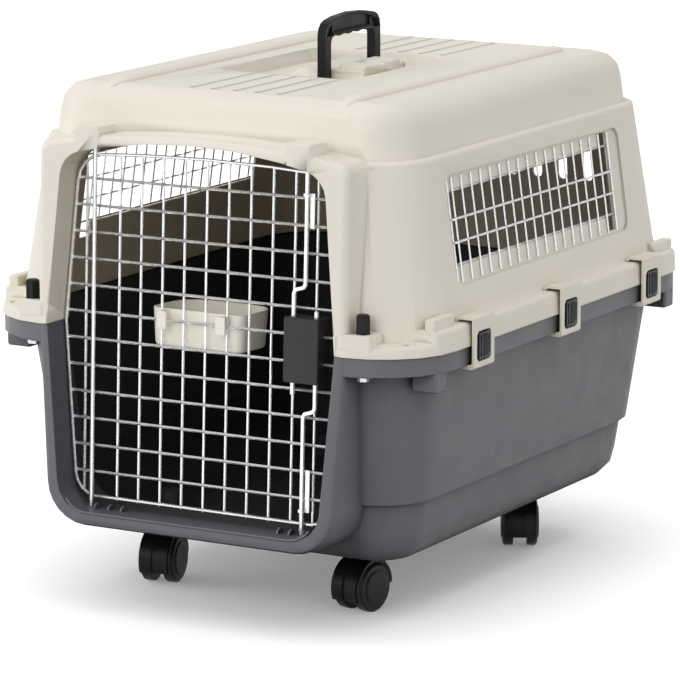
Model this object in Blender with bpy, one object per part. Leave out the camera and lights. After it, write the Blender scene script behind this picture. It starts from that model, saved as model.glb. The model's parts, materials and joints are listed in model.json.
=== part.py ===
"""A wheeled pet travel crate, in metres, +Z up, standing on z = 0 with its door towards -Y."""

import math

import bmesh
import bpy
from mathutils import Matrix, Vector

# Clearances, and the length of a cutter that runs out of the crate
PAST = 0.1000
TOUCH = 0.0003
SLIDE = 0.0004
BOLT_GAP = 0.0005
WHEEL_GAP = 0.0009

# Crate: main heights, from the floor up
CASTER_HEIGHT = 0.0640
TUB_HEIGHT = 0.2220
BAND_HEIGHT = 0.0235
WING_HEIGHT = 0.0120
WALL_HEIGHT = 0.1580
DOME_HEIGHT = 0.0520
RIM_Z = CASTER_HEIGHT + TUB_HEIGHT
SHELL_Z = RIM_Z + TOUCH
LEDGE_Z = RIM_Z + BAND_HEIGHT
WING_Z = RIM_Z + WING_HEIGHT
SHOULDER_Z = LEDGE_Z + WALL_HEIGHT
ROOF_Z = SHOULDER_Z + DOME_HEIGHT

# Crate: plan of the rim and of the walls
RIM_HALF_WIDTH = 0.2540
RIM_HALF_DEPTH = 0.3165
RIM_CORNER = 0.0800
LEDGE_WIDTH = 0.0180
LEDGE_DEPTH = 0.0265
WALL_CORNER = 0.0640
SIDE_LEAN = 0.1415
END_LEAN = 0.1090
CORNER_LEAN = 0.0400
SHELL_WALL = 0.0035
BAND_WALL = 0.0030
CORNER_STEPS = 5
FLATNESS = 0.0005

# Roof: dome, rails, ribs and handle well
SHOULDER_EDGE = 0.0040
BAND_EDGE = 0.0045
DOME_INSET_X = 0.0085
DOME_INSET_Y = 0.0100
DOME_DRAFT = 0.0030
DOME_ROUND = 0.0280
DOME_STEPS = 3
RAIL_INSET = 0.1200
RAIL_X = RIM_HALF_WIDTH - RAIL_INSET
RAIL_RADIUS = 0.0120
RAIL_RISE = 0.0055
RAIL_FRONT_INSET = 0.0605
RAIL_REAR_INSET = 0.1015
RAIL_FRONT_Y = RAIL_FRONT_INSET - RIM_HALF_DEPTH
RAIL_REAR_Y = RIM_HALF_DEPTH - RAIL_REAR_INSET
RIB_WIDTH = 0.0040
RIB_HEIGHT = 0.0012
RIB_PITCH = 0.0250
RIB_COUNT = 5
RIB_INSET = 0.0915
RIB_WELL_GAP = 0.0080
WELL_LEFT = -0.0980
WELL_RIGHT = 0.0600
WELL_HALF_Y = 0.1000
WELL_DEPTH = 0.0135
WELL_CORNER = 0.0140
RIB_INNER_Y = WELL_HALF_Y + RIB_WELL_GAP
RIB_OUTER_Y = RIM_HALF_DEPTH - RIB_INSET
BOSS_RAMP_LEFT = -0.0500
BOSS_LEFT = -0.0310
BOSS_RIGHT = 0.0430
BOSS_HALF_Y = 0.0430
BOSS_RISE = 0.0010
REST_LEFT = 0.0130
REST_FRONT_Y = -0.0415
REST_REAR_Y = 0.0320
REST_RISE = 0.0058
SCOOP_RADIUS = 0.0300
SCOOP_DEPTH = 0.0030

# Rim furniture: wings at the four corners, measured in from the rim
PAD_INNER_INSET = 0.0854
PAD_WIDTH = 0.0328
PAD_LENGTH = 0.0305
PAD_INNER_X = RIM_HALF_WIDTH - PAD_INNER_INSET
PAD_OUTER_X = PAD_INNER_X + PAD_WIDTH
PAD_INNER_Y = RIM_HALF_DEPTH - PAD_LENGTH
PAD_RISE = 0.0105
PAD_DROP = 0.0190
WING_LENGTH = 0.0525
WING_WIDTH = 0.0885
WING_START_Y = RIM_HALF_DEPTH - WING_LENGTH
WING_START_X = RIM_HALF_WIDTH - WING_WIDTH
WING_PAD_INSET = 0.0008
LUG_BLOCK_LENGTH = 0.0400
LUG_BLOCK_WIDTH = 0.0085
LUG_BLOCK_RISE = 0.0105
SOCKET_INSET = 0.0735
SOCKET_Y = RIM_HALF_DEPTH - SOCKET_INSET
SOCKET_LENGTH = 0.0210
SOCKET_WIDTH = 0.0140
SOCKET_DROP = 0.0380
TIE_HOLE_INSET_X = 0.0290
TIE_HOLE_INSET_Y = 0.0315
TIE_HOLE_X = RIM_HALF_WIDTH - TIE_HOLE_INSET_X
TIE_HOLE_Y = RIM_HALF_DEPTH - TIE_HOLE_INSET_Y
TIE_HOLE_RADIUS = 0.0030

# Tub
TUB_WALL_INSET_X = 0.0208
TUB_WALL_INSET_Y = 0.0305
TUB_SIDE_LEAN = 0.1232
TUB_END_LEAN = 0.1160
TUB_CORNER = 0.0665
SKIRT_HEIGHT = 0.0180
SKIRT_INSET = 0.0025
STEP_HEIGHT = 0.0650
STEP_INSET = 0.0070
FOOT_ROUND = 0.0350
FOOT_STEPS = 3
CASTER_BOSS_RADIUS = 0.0110
CASTER_BOSS_HEIGHT = 0.0270

# Door opening and its collar, in the leaning door frame: u to the right, v inwards, w up
DOOR_LEAN = 0.0410
DOOR_INSET = 0.0335
DOOR_Y = DOOR_INSET - RIM_HALF_DEPTH
JAMB_WIDTH = 0.0900
OPENING_HALF = RIM_HALF_WIDTH - JAMB_WIDTH
OPENING_TAPER = 0.0875
OPENING_BELOW = 0.1855
OPENING_ABOVE = 0.1885
OPENING_ARCH = 0.0190
OPENING_LOW_CORNER = 0.0300
OPENING_TOP_CORNER = 0.0280
COLLAR_WIDTH = 0.0120
COLLAR_HALF = OPENING_HALF + COLLAR_WIDTH
COLLAR_FRONT = 0.0325
COLLAR_BACK = 0.0070
COLLAR_ABOVE = 0.1960
COLLAR_ARCH = 0.0130
COLLAR_BELOW = 0.2000
COLLAR_LOW_TAPER = 0.0700
COLLAR_LOW_CORNER = 0.0440
COLLAR_TOP_CORNER = 0.0120
COLLAR_EDGE = 0.0060
SOCKET_LUG_WIDTH = 0.0275
HINGE_LUG_OFFSET = 0.0064
BOLT_LUG_OFFSET = 0.0038
SOCKET_LUG_TOP = 0.2000
SILL_RIB_THICKNESS = 0.0022
SILL_RIB_LENGTH = 0.0120
SILL_RIB_HEIGHT = 0.0060
SILL_RIB_SINK = 0.0005
HINGE_RIB_PLACES = (-0.0090, 0.0082, 0.0242, 0.0392)
BOLT_RIB_PLACES = (-0.0230, -0.0100, 0.0050, 0.0170)

# Door grille
CELL = 0.0250
ROW = 0.02673
WIRE_RADIUS = 0.00145
FRAME_RADIUS = 0.0016
WELD_SINK = 0.0006
FRAME_SIDE_GAP = 0.0030
FRAME_TOP_GAP = 0.0160
FRAME_SILL_GAP = 0.0109
FRAME_ARCH = 0.0055
FRAME_LOW_CORNER = 0.0240
FRAME_TOP_CORNER = 0.0300
WIRE_TAIL = 0.0024
FIRST_COLUMN_MARGIN = 0.0580
LAST_COLUMN_MARGIN = 0.0300
FIRST_COLUMN = -int((OPENING_HALF - FIRST_COLUMN_MARGIN) / CELL)
LAST_COLUMN = int((OPENING_HALF - LAST_COLUMN_MARGIN) / CELL)
EDGE_WIRE_PITCH = 0.0126
ROW_OFFSET = 0.01057
FIRST_ROW = -6
LAST_ROW = 5
ROD_RADIUS = 0.00225
HINGE_OFFSET = 0.0262
HINGE_U = FIRST_COLUMN * CELL - HINGE_OFFSET
EDGE_WIRE_U = HINGE_U - EDGE_WIRE_PITCH
HINGE_DEPTH = 0.0100

# Door latch
BOLT_OFFSET = 0.0160
BOLT_U = (LAST_COLUMN - 1) * CELL + BOLT_OFFSET
BOLT_CRANK = 0.0127
BOLT_TRAVEL = 0.0080
CRANK_LENGTH = 0.0095
UPPER_CRANK_W = 0.0515
LOWER_CRANK_W = -0.0595
HOUSING_TOP = 0.0290
HOUSING_BOTTOM = -0.0350
HOUSING_FRONT = -0.0145
HOUSING_BACK = 0.0090
HOUSING_WALL = 0.0014
HOUSING_EDGE = 0.0010
TIP_LENGTH = 0.0065
TIP_BELOW_LENGTH = 0.0125
SEAT_HEIGHT = 0.0050
SPRING_RADIUS = 0.0032
SPRING_WIRE = 0.0006
SPRING_TURNS = 5
GUIDE_THICKNESS = 0.0010
GUIDE_RING = 0.0011
GUIDE_RING_HEIGHT = 0.0030
GUIDE_OVERHANG = 0.0022
UPPER_RING_RISE = 0.0022
LOWER_RING_DROP = 0.0130

# Bowl
BOWL_LEFT = -0.0670
BOWL_RIGHT = 0.0390
BOWL_FRONT = 0.0040
BOWL_DEPTH = 0.0695
BOWL_TOP = 0.0213
BOWL_HEIGHT = 0.0386
BOWL_WALL = 0.0020
BOWL_DRAFT = 0.0022
BOWL_FRONT_CORNER = 0.0100
BOWL_BACK_CORNER = 0.0280
BOWL_FOOT_ROUND = 0.0040
HOOK_U = 0.0192
HOOK_PITCH = 0.0674
HOOK_WIDTH = 0.0062
HOOK_OVERHANG = 0.0045
HOOK_WEB = 0.0040
HOOK_THICKNESS = 0.0022
HOOK_LENGTH = 0.0180
HOOK_ABOVE = 0.0092
BOWL_LIFT = 0.0120

# Side windows, in a frame lying on the wall: across the wall is y, up the wall is w
WINDOW_FRONT_INSET = 0.1235
WINDOW_REAR_INSET = 0.1315
WINDOW_START = WINDOW_FRONT_INSET - RIM_HALF_DEPTH
WINDOW_END = RIM_HALF_DEPTH - WINDOW_REAR_INSET
WINDOW_LOW = 0.0310
WINDOW_HIGH = 0.1395
WINDOW_CORNER = 0.0120
WINDOW_RECESS = 0.0030
WINDOW_PANEL = 0.0030
WINDOW_RIM = 0.0040
WINDOW_STRIP = 0.0190
WINDOW_MARGIN = 0.0085
WINDOW_WIRE = 0.00115
WINDOW_SINK = 0.0005
WINDOW_PITCH = 0.0200
WINDOW_FIRST_INSET = 0.0145
WINDOW_FIRST_Y = WINDOW_START + WINDOW_FIRST_INSET
WINDOW_WIRES = int((WINDOW_END - WINDOW_FIRST_Y) / WINDOW_PITCH)
WINDOW_ROWS = (0.0735, 0.0961)

# Rear vents
VENT_WIDTH = 0.0115
VENT_FIRST = 0.0155
VENT_PITCH = 0.0303
VENTS_A_SIDE = 5
VENT_LOW_Z = 0.3700
VENT_HIGH_Z = 0.4300

# Handle
HANDLE_X = 0.0013
HANDLE_PIVOT_DROP = 0.0050
HANDLE_HALF_Y = 0.0570
HANDLE_LEG = 0.0115
HANDLE_THICKNESS = 0.0095
HANDLE_RISE = 0.0596
HANDLE_ARCH = 0.0065
HANDLE_GRIP = 0.0175
HANDLE_CORNER = 0.0150
HANDLE_INNER_CORNER = 0.0080
HANDLE_FOOT = 0.0070
HANDLE_RECESS = 0.0018
HANDLE_RIM = 0.0025
SCALLOPS = 4
SCALLOP_DEPTH = 0.0014
PIN_RADIUS = 0.0025
PIN_GRIP = 0.0075

# Rim latches
LATCH_INSET = 0.1290
LATCH_PLACES = (LATCH_INSET - RIM_HALF_DEPTH, 0.0, RIM_HALF_DEPTH - LATCH_INSET)
LATCH_WIDTH = 0.0430
LATCH_PLATE = 0.0020
LATCH_GAP = 0.0020
LATCH_EDGE = 0.0017
LATCH_LIP = 0.0110
LATCH_LIP_THICKNESS = 0.0030
KNUCKLE_RADIUS = 0.0020
KNUCKLE_WALL_GAP = 0.0016
BUTTON_WIDTH = 0.0280
BUTTON_HEIGHT = 0.0290
BUTTON_TOP_DROP = 0.0100
BUTTON_CORNER = 0.0035
BUTTON_RISE = 0.0010
BUTTON_FLANGE = 0.0012
BUTTON_FLANGE_THICKNESS = 0.0006

# Wing knobs
KNOB_INSET_X = 0.0655
KNOB_INSET_Y = 0.0135
KNOB_X = RIM_HALF_WIDTH - KNOB_INSET_X
KNOB_Y = RIM_HALF_DEPTH - KNOB_INSET_Y
KNOB_RADIUS = 0.0068
KNOB_LOBE = 0.0008
KNOB_LOBES = 6
KNOB_HEIGHT = 0.0190
KNOB_ROUND = 0.0030
BOLT_RADIUS = 0.0030
NUT_RADIUS = 0.0058
NUT_HEIGHT = 0.0040
BOLT_END = 0.0020

# Casters
CASTER_INSET_X = 0.1340
CASTER_INSET_Y = 0.1595
CASTER_X = RIM_HALF_WIDTH - CASTER_INSET_X
CASTER_Y = RIM_HALF_DEPTH - CASTER_INSET_Y
CASTER_TRAIL = 0.0220
WHEEL_RADIUS = 0.0250
WHEEL_WIDTH = 0.0110
WHEEL_ROUND = 0.0025
WHEEL_INNER_X = 0.0074
WHEEL_CROWN = 0.0006
WHEEL_SIDES = 20
AXLE_RADIUS = 0.0030
HOOD_WALL = 0.0022
HOOD_HALF_WIDTH = 0.0165
WEB_HALF_WIDTH = 0.0068
HOOD_NECK_RADIUS = 0.0100
HOOD_TOP_GAP = 0.0012
STEM_RADIUS = 0.0040
STEM_FOOT_Z = 0.0300
STEM_INSERTION = 0.0230
CASTER_ANGLES = {"front_left": 11.4, "front_right": -7.4, "rear_left": -24.0, "rear_right": 29.5}

CREAM = (0.78, 0.75, 0.66)
GREY = (0.135, 0.143, 0.152)
BLACK = (0.018, 0.018, 0.020)
CLIP_GREY = (0.060, 0.066, 0.074)
STEEL = (0.72, 0.73, 0.75)


# Scene, collections and materials


def clear_scene():
    for item in list(bpy.data.objects):
        bpy.data.objects.remove(item, do_unlink=True)


def new_collection(name):
    collection = bpy.data.collections.new(name)
    bpy.context.scene.collection.children.link(collection)
    return collection


def new_material(name, colour, roughness, metallic=0.0):
    material = bpy.data.materials.new(name)
    material.use_nodes = True
    shader = material.node_tree.nodes["Principled BSDF"]
    shader.inputs["Base Color"].default_value = (*colour, 1.0)
    shader.inputs["Roughness"].default_value = roughness
    shader.inputs["Metallic"].default_value = metallic
    material.diffuse_color = (*colour, 1.0)
    return material


clear_scene()
PARTS = new_collection("pet_travel_crate")
CUTTERS = new_collection("cutters")
MATERIALS = {
    "shell_cream": new_material("shell_cream", CREAM, 0.50),
    "tub_grey": new_material("tub_grey", GREY, 0.55),
    "fitting_black": new_material("fitting_black", BLACK, 0.45),
    "clip_grey": new_material("clip_grey", CLIP_GREY, 0.45),
    "wire_chrome": new_material("wire_chrome", STEEL, 0.18, 1.0),
    "steel_zinc": new_material("steel_zinc", STEEL, 0.35, 1.0),
}


# Placing


def world(item):
    """The world matrix of an object that has just been placed."""
    if item is None:
        return Matrix()
    return world(item.parent) @ item.matrix_parent_inverse @ item.matrix_basis


def place(item, frame, parent):
    item.matrix_basis = frame
    if parent is not None:
        item.parent = parent
        item.matrix_parent_inverse = world(parent).inverted()


def joint_empty(name, frame, parent=None):
    """An empty on a joint's axis, which carries the pieces that move with it."""
    empty = bpy.data.objects.new(name, None)
    empty.empty_display_size = 0.02
    PARTS.objects.link(empty)
    place(empty, frame, parent)
    return empty


def piece(name, mesh, material, frame=Matrix(), parent=None, smooth=True):
    """A named piece of the crate from a mesh in its frame."""
    mesh.name = name
    mesh.materials.clear()
    mesh.materials.append(MATERIALS[material])
    if smooth:
        mesh.shade_smooth()
        mesh.set_sharp_from_angle(angle=math.radians(35))
    item = bpy.data.objects.new(name, mesh)
    PARTS.objects.link(item)
    place(item, frame, parent)
    return item


def tool(name, mesh, frame=Matrix()):
    """A helper shape, for a Boolean only."""
    item = bpy.data.objects.new(name, mesh)
    item.display_type = "WIRE"
    item.hide_render = True
    CUTTERS.objects.link(item)
    item.matrix_basis = frame
    return item


def boolean(target, operation, other):
    modifier = target.modifiers.new(other.name, "BOOLEAN")
    modifier.operation = operation
    modifier.object = other
    modifier.solver = "EXACT"


def cut(target, other):
    boolean(target, "DIFFERENCE", other)


def add(target, other):
    boolean(target, "UNION", other)


# Meshes


def mesh_from(bm, name):
    bmesh.ops.recalc_face_normals(bm, faces=bm.faces)
    mesh = bpy.data.meshes.new(name)
    bm.to_mesh(mesh)
    bm.free()
    return mesh


def joined(name, *meshes):
    """Several closed shapes that don't meet, in one mesh."""
    bm = bmesh.new()
    for mesh in meshes:
        bm.from_mesh(mesh)
        bpy.data.meshes.remove(mesh)
    return mesh_from(bm, name)


def moved(mesh, *offset):
    mesh.transform(Matrix.Translation(offset))
    return mesh


def turned(mesh, matrix):
    mesh.transform(matrix)
    return mesh


def box(low, high, edge=0.0):
    """A box between two corners, with its edges bevelled."""
    low, high = Vector(low), Vector(high)
    size = high - low
    bm = bmesh.new()
    bmesh.ops.create_cube(bm, size=1.0, matrix=Matrix.Diagonal((*size, 1.0)))
    if edge:
        bmesh.ops.bevel(bm, geom=bm.edges, offset=edge, segments=1, affect="EDGES", profile=0.5)
    bmesh.ops.translate(bm, verts=bm.verts, vec=(low + high) / 2)
    return mesh_from(bm, "box")


def cylinder(radius, low, high, sides, top_radius=None):
    """A round bar along Z; its flats lie outside the radius of a pin that turns in it."""
    bm = bmesh.new()
    last = radius if top_radius is None else top_radius
    height = Matrix.Translation((0, 0, (low + high) / 2))
    bmesh.ops.create_cone(
        bm, cap_ends=True, segments=sides, radius1=radius, radius2=last, depth=high - low, matrix=height
    )
    return mesh_from(bm, "cylinder")


def bore(radius, sides):
    """The corner radius of a faceted hole that a round pin of this radius fits."""
    return radius / math.cos(math.pi / sides)


def loft(rings, closed=False):
    """The surface through rings with as many points each, capped unless it closes on itself."""
    bm = bmesh.new()
    rows = [[bm.verts.new(point) for point in ring] for ring in rings]
    following = rows[1:] + rows[:1] if closed else rows[1:]
    for row, other in zip(rows, following):
        for here in range(len(row)):
            after = (here + 1) % len(row)
            bm.faces.new((row[here], row[after], other[after], other[here]))
    if not closed:
        bm.faces.new(rows[0][::-1])
        bm.faces.new(rows[-1])
    bmesh.ops.connect_verts_nonplanar(bm, angle_limit=FLATNESS, faces=bm.faces)
    return mesh_from(bm, "loft")


def curve_mesh(curve):
    """The closed mesh of a filled or a round curve, its caps welded to its sides."""
    item = bpy.data.objects.new("curve", curve)
    bpy.context.scene.collection.objects.link(item)
    evaluated = item.evaluated_get(bpy.context.evaluated_depsgraph_get())
    mesh = bpy.data.meshes.new_from_object(evaluated)
    bpy.data.objects.remove(item)
    bpy.data.curves.remove(curve)
    bm = bmesh.new()
    bm.from_mesh(mesh)
    bpy.data.meshes.remove(mesh)
    bmesh.ops.remove_doubles(bm, verts=bm.verts, dist=0.00001)
    return mesh_from(bm, "curve")


def add_spline(curve, points, cyclic):
    spline = curve.splines.new("POLY")
    spline.points.add(len(points) - 1)
    for spot, point in zip(spline.points, points):
        spot.co = (*point, 1.0) if len(point) == 3 else (*point, 0.0, 1.0)
    spline.use_cyclic_u = cyclic


def wires(paths, radius, resolution, cyclic=False):
    """Round wires along point paths."""
    curve = bpy.data.curves.new("wires", "CURVE")
    curve.dimensions = "3D"
    curve.bevel_depth = radius
    curve.bevel_resolution = resolution
    curve.use_fill_caps = not cyclic
    for path in paths:
        add_spline(curve, path, cyclic)
    return curve_mesh(curve)


def plate(outlines, low, high):
    """A flat shape with its outlines in X and Z, from low to high along Y."""
    curve = bpy.data.curves.new("plate", "CURVE")
    curve.dimensions = "2D"
    curve.fill_mode = "BOTH"
    curve.extrude = (high - low) / 2
    for outline in outlines:
        add_spline(curve, outline, True)
    upright = Matrix.Rotation(math.pi / 2, 4, "X")
    return turned(curve_mesh(curve), Matrix.Translation((0, (low + high) / 2, 0)) @ upright)


# Outlines


def rounded(corners, steps=4):
    """An outline through (x, z, radius) corners, each radius turned into an arc."""
    points = []
    for place_in_list, (x, z, radius) in enumerate(corners):
        here = Vector((x, z))
        if not radius:
            points.append((x, z))
            continue
        before = (Vector(corners[place_in_list - 1][:2]) - here).normalized()
        after = (Vector(corners[(place_in_list + 1) % len(corners)][:2]) - here).normalized()
        half = before.angle(after) / 2
        centre = here + (before + after).normalized() * radius / math.sin(half)
        start = here + before * radius / math.tan(half) - centre
        finish = here + after * radius / math.tan(half) - centre
        sweep = start.angle_signed(finish)
        for step in range(steps + 1):
            turn = Matrix.Rotation(-sweep * step / steps, 2)
            points.append(tuple(centre + turn @ start))
    return points


def arch_points(half, crown, rise, count):
    """Points of a shallow arch from the right to the left, between its ends at half."""
    points = []
    for step in range(1, count + 1):
        u = half * (1 - 2 * step / (count + 1))
        points.append((u, crown - rise * (u / half) ** 2, 0.0))
    return points


def opening_outline(grow=0.0):
    """The door opening in u and w, or a larger outline round it."""

    def half(w):
        return OPENING_HALF - OPENING_TAPER * abs(w) + grow

    low = -OPENING_BELOW - grow
    eaves = OPENING_ABOVE - OPENING_ARCH + grow
    low_corner = OPENING_LOW_CORNER + grow
    top_corner = OPENING_TOP_CORNER + grow
    corners = [(-half(low), low, low_corner), (half(low), low, low_corner), (half(0), 0.0, 0.0)]
    corners += [(half(eaves), eaves, top_corner)]
    corners += arch_points(half(eaves), OPENING_ABOVE + grow, OPENING_ARCH, 5)
    corners += [(-half(eaves), eaves, top_corner), (-half(0), 0.0, 0.0)]
    return rounded(corners)


def frame_outline():
    """The centre line of the door's outer wire in u and w."""
    low = -OPENING_BELOW + FRAME_SILL_GAP
    high = OPENING_ABOVE - FRAME_TOP_GAP
    eaves = high - FRAME_ARCH

    def half(w):
        return OPENING_HALF - OPENING_TAPER * abs(w) - FRAME_SIDE_GAP

    corners = [(-half(low), low, FRAME_LOW_CORNER), (half(low), low, FRAME_LOW_CORNER), (half(0), 0.0, 0.0)]
    corners += [(half(eaves), eaves, FRAME_TOP_CORNER)]
    corners += arch_points(half(eaves), high, FRAME_ARCH, 3)
    corners += [(-half(eaves), eaves, FRAME_TOP_CORNER), (-half(0), 0.0, 0.0)]
    return rounded(corners)


def crossings(outline, place_on_line, axis):
    """Where a straight line at one coordinate meets an outline, as its lowest and highest crossing."""
    other = 1 - axis
    found = []
    for here, after in zip(outline, outline[1:] + outline[:1]):
        low, high = here[axis], after[axis]
        if (low - place_on_line) * (high - place_on_line) < 0:
            share = (place_on_line - low) / (high - low)
            found.append(here[other] + share * (after[other] - here[other]))
    return min(found), max(found)


def upper_collar_outline(inset):
    half = COLLAR_HALF - inset
    crown = COLLAR_ABOVE - inset
    corners = [(-half, -0.012, 0.0), (half, -0.012, 0.0)]
    corners += [(half, crown - COLLAR_ARCH, COLLAR_TOP_CORNER)]
    corners += arch_points(half, crown, COLLAR_ARCH, 5)
    corners += [(-half, crown - COLLAR_ARCH, COLLAR_TOP_CORNER)]
    return rounded(corners)


def lower_collar_outline(inset):
    half = COLLAR_HALF - inset
    low = -COLLAR_BELOW + inset
    low_half = half + COLLAR_LOW_TAPER * low
    corner = COLLAR_LOW_CORNER - inset
    corners = [(-low_half, low, corner), (low_half, low, corner), (half, 0.012, 0.0), (-half, 0.012, 0.0)]
    return rounded(corners, 6)


def collar_block(outline, back):
    """The collar round the door, its front edge rounded over."""
    steps = ((COLLAR_EDGE, 0.0), (COLLAR_EDGE * 0.4, COLLAR_EDGE * 0.25), (0.0, COLLAR_EDGE))
    rings = []
    for inset, depth in steps:
        rings.append([(u, -COLLAR_FRONT + depth, w) for u, w in outline(inset)])
    rings.append([(u, back, w) for u, w in outline(0.0)])
    return loft(rings)


# Frames


def door_frame():
    """Origin on the door's wire plane at the rim's height, +Z up along the leaning door."""
    return Matrix.Translation((0, DOOR_Y, RIM_Z)) @ Matrix.Rotation(-math.atan(DOOR_LEAN), 4, "X")


def side_frame(side):
    """Origin at the foot of a side wall, +X outwards, +Z up along the leaning wall."""
    foot = Matrix.Translation((RIM_HALF_WIDTH - LEDGE_WIDTH, 0, LEDGE_Z))
    lean = Matrix.Rotation(-math.atan(SIDE_LEAN), 4, "Y")
    around = Matrix.Rotation(0.0 if side > 0 else math.pi, 4, "Z")
    return around @ foot @ lean


DOOR = door_frame()
ROW_V = -(2 * WIRE_RADIUS - WELD_SINK)
ROD_V = ROW_V - WIRE_RADIUS - TOUCH - ROD_RADIUS


# Rings of the two shells


def ring(half_x, half_y, radius, z):
    """A rounded rectangle, anticlockwise from above."""
    points = []
    for quarter in range(4):
        x = (1 if quarter in (0, 3) else -1) * (half_x - radius)
        y = (1 if quarter < 2 else -1) * (half_y - radius)
        for step in range(CORNER_STEPS + 1):
            angle = math.pi / 2 * (quarter + step / CORNER_STEPS)
            points.append((x + radius * math.cos(angle), y + radius * math.sin(angle), z))
    return points


def inside(size, amount, amount_y=None):
    """A ring's size with its outline drawn in."""
    half_x, half_y, radius = size
    other = amount if amount_y is None else amount_y
    return half_x - amount, half_y - other, radius - amount


RIM = (RIM_HALF_WIDTH, RIM_HALF_DEPTH, RIM_CORNER)


def wall_size(z):
    """Outer size of the upper shell's wall at a height."""
    rise = z - LEDGE_Z
    return (
        RIM_HALF_WIDTH - LEDGE_WIDTH - SIDE_LEAN * rise,
        RIM_HALF_DEPTH - LEDGE_DEPTH - END_LEAN * rise,
        WALL_CORNER - CORNER_LEAN * rise,
    )


def tub_size(z):
    """Outer size of the tub's wall at a height."""
    fall = RIM_Z - z
    return (
        RIM_HALF_WIDTH - TUB_WALL_INSET_X - TUB_SIDE_LEAN * fall,
        RIM_HALF_DEPTH - TUB_WALL_INSET_Y - TUB_END_LEAN * fall,
        TUB_CORNER - CORNER_LEAN * fall,
    )


def dome_rings(wall):
    """The dome above the shoulder, as its outer skin or drawn in by a wall."""
    foot = inside(inside(wall_size(SHOULDER_Z), DOME_INSET_X, DOME_INSET_Y), wall)
    spring = inside(foot, DOME_DRAFT)
    spring_z = ROOF_Z - DOME_ROUND
    radius = DOME_ROUND - wall
    rings = [ring(*foot, SHOULDER_Z + 0.001 - wall)]
    for step in range(DOME_STEPS + 1):
        angle = math.pi / 2 * step / DOME_STEPS
        drawn = inside(spring, radius * (1 - math.cos(angle)))
        rings.append(ring(*drawn, spring_z + radius * math.sin(angle)))
    return rings


# Upper shell


def shell_body():
    """The walls and the dome over them, down to the rim."""
    shoulder = wall_size(SHOULDER_Z)
    rings = [
        ring(*wall_size(SHELL_Z), SHELL_Z),
        ring(*wall_size(SHOULDER_Z - SHOULDER_EDGE), SHOULDER_Z - SHOULDER_EDGE),
        ring(*inside(shoulder, SHOULDER_EDGE / 4), SHOULDER_Z - SHOULDER_EDGE / 4),
        ring(*inside(shoulder, SHOULDER_EDGE), SHOULDER_Z),
    ]
    return loft(rings + dome_rings(0.0))


def band(low, high, inset=0.0):
    """The rim's outer band up to a height, with a rounded top edge."""
    size = inside(RIM, inset)
    rings = [
        ring(*size, low),
        ring(*inside(size, 0.001), high - BAND_EDGE),
        ring(*inside(size, 0.001 + BAND_EDGE * 0.3), high - BAND_EDGE * 0.3),
        ring(*inside(size, 0.001 + BAND_EDGE), high),
    ]
    return loft(rings)


def wing_corners(low, grow=0.0):
    """The four regions in which the rim drops to its wings."""
    start_x, start_y = WING_START_X - grow, WING_START_Y - grow
    high = (start_x + 2 * PAST, start_y + 2 * PAST, low + PAST)
    return joined("corners", *on_corners((start_x, start_y, low), high))


def shell_cavity():
    """The cabin under the shell, without what stands inside it."""
    low = SHELL_Z - 0.002
    shoulder = SHOULDER_Z - SHELL_WALL
    rings = [
        ring(*inside(wall_size(low), SHELL_WALL), low),
        ring(*inside(wall_size(shoulder), SHELL_WALL), shoulder - 0.002),
    ]
    cavity = tool("shell_cavity", loft(rings + dome_rings(SHELL_WALL)))
    cut(cavity, lining("shell_lining"))
    cut(cavity, tool("well_floor", well_block(SHELL_WALL)))
    for side, name in ((1, "right"), (-1, "left")):
        inner = -WINDOW_RECESS - WINDOW_PANEL
        low_corner = (inner, WINDOW_START - SHELL_WALL, WINDOW_LOW - SHELL_WALL)
        high_corner = (SHELL_WALL, WINDOW_END + SHELL_WALL, WINDOW_HIGH + SHELL_WALL)
        cut(cavity, tool("window_panel_" + name, box(low_corner, high_corner), side_frame(side)))
    return cavity


def lining(name):
    """The tunnel wall round the door, which stands into the cabin up to the door's back."""
    shape = plate([opening_outline(SHELL_WALL)], -COLLAR_FRONT - 0.02, COLLAR_BACK)
    return tool(name, shape, DOOR)


def tunnel(name):
    return tool(name, plate([opening_outline()], -COLLAR_FRONT - 0.03, 0.08), DOOR)


def band_hollow(name, outer, inner, low, high):
    """The channel between a rim's skirt and the wall inside it, open below."""
    rings = [ring(*outer, low), ring(*outer, high), ring(*inner, high), ring(*inner, low)]
    return tool(name, loft(rings, closed=True))


def well_block(grow):
    """The handle's well in the roof, or the larger block that leaves its floor and walls."""
    left, right = WELL_LEFT - grow, WELL_RIGHT + grow
    half = WELL_HALF_Y + grow
    radius = WELL_CORNER + grow
    low = ROOF_Z - WELL_DEPTH - grow
    corners = [(left, -half, radius), (right, -half, radius), (right, half, radius), (left, half, radius)]
    outline = rounded(corners)
    return loft([[(x, y, low) for x, y in outline], [(x, y, ROOF_Z + 0.02) for x, y in outline]])


def rail(x):
    """A round-topped rail whose ends run down into the roof."""
    centre = ROOF_Z + RAIL_RISE - RAIL_RADIUS
    path = [
        (x, RAIL_FRONT_Y, centre - 0.012),
        (x, RAIL_FRONT_Y + 0.010, centre - 0.004),
        (x, RAIL_FRONT_Y + 0.024, centre),
        (x, RAIL_REAR_Y - 0.016, centre),
        (x, RAIL_REAR_Y, centre - 0.008),
    ]
    return wires([path], RAIL_RADIUS, 3)


def roof_ribs():
    """Two fields of low ribs, in front of the well and behind it."""
    shapes = []
    for field in (-1, 1):
        low, high = sorted((field * RIB_INNER_Y, field * RIB_OUTER_Y))
        for number in range(RIB_COUNT):
            x = (number - (RIB_COUNT - 1) / 2) * RIB_PITCH
            half = RIB_WIDTH / 2
            shapes.append(box((x - half, low, ROOF_Z - 0.002), (x + half, high, ROOF_Z + RIB_HEIGHT)))
    return shapes


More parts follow.
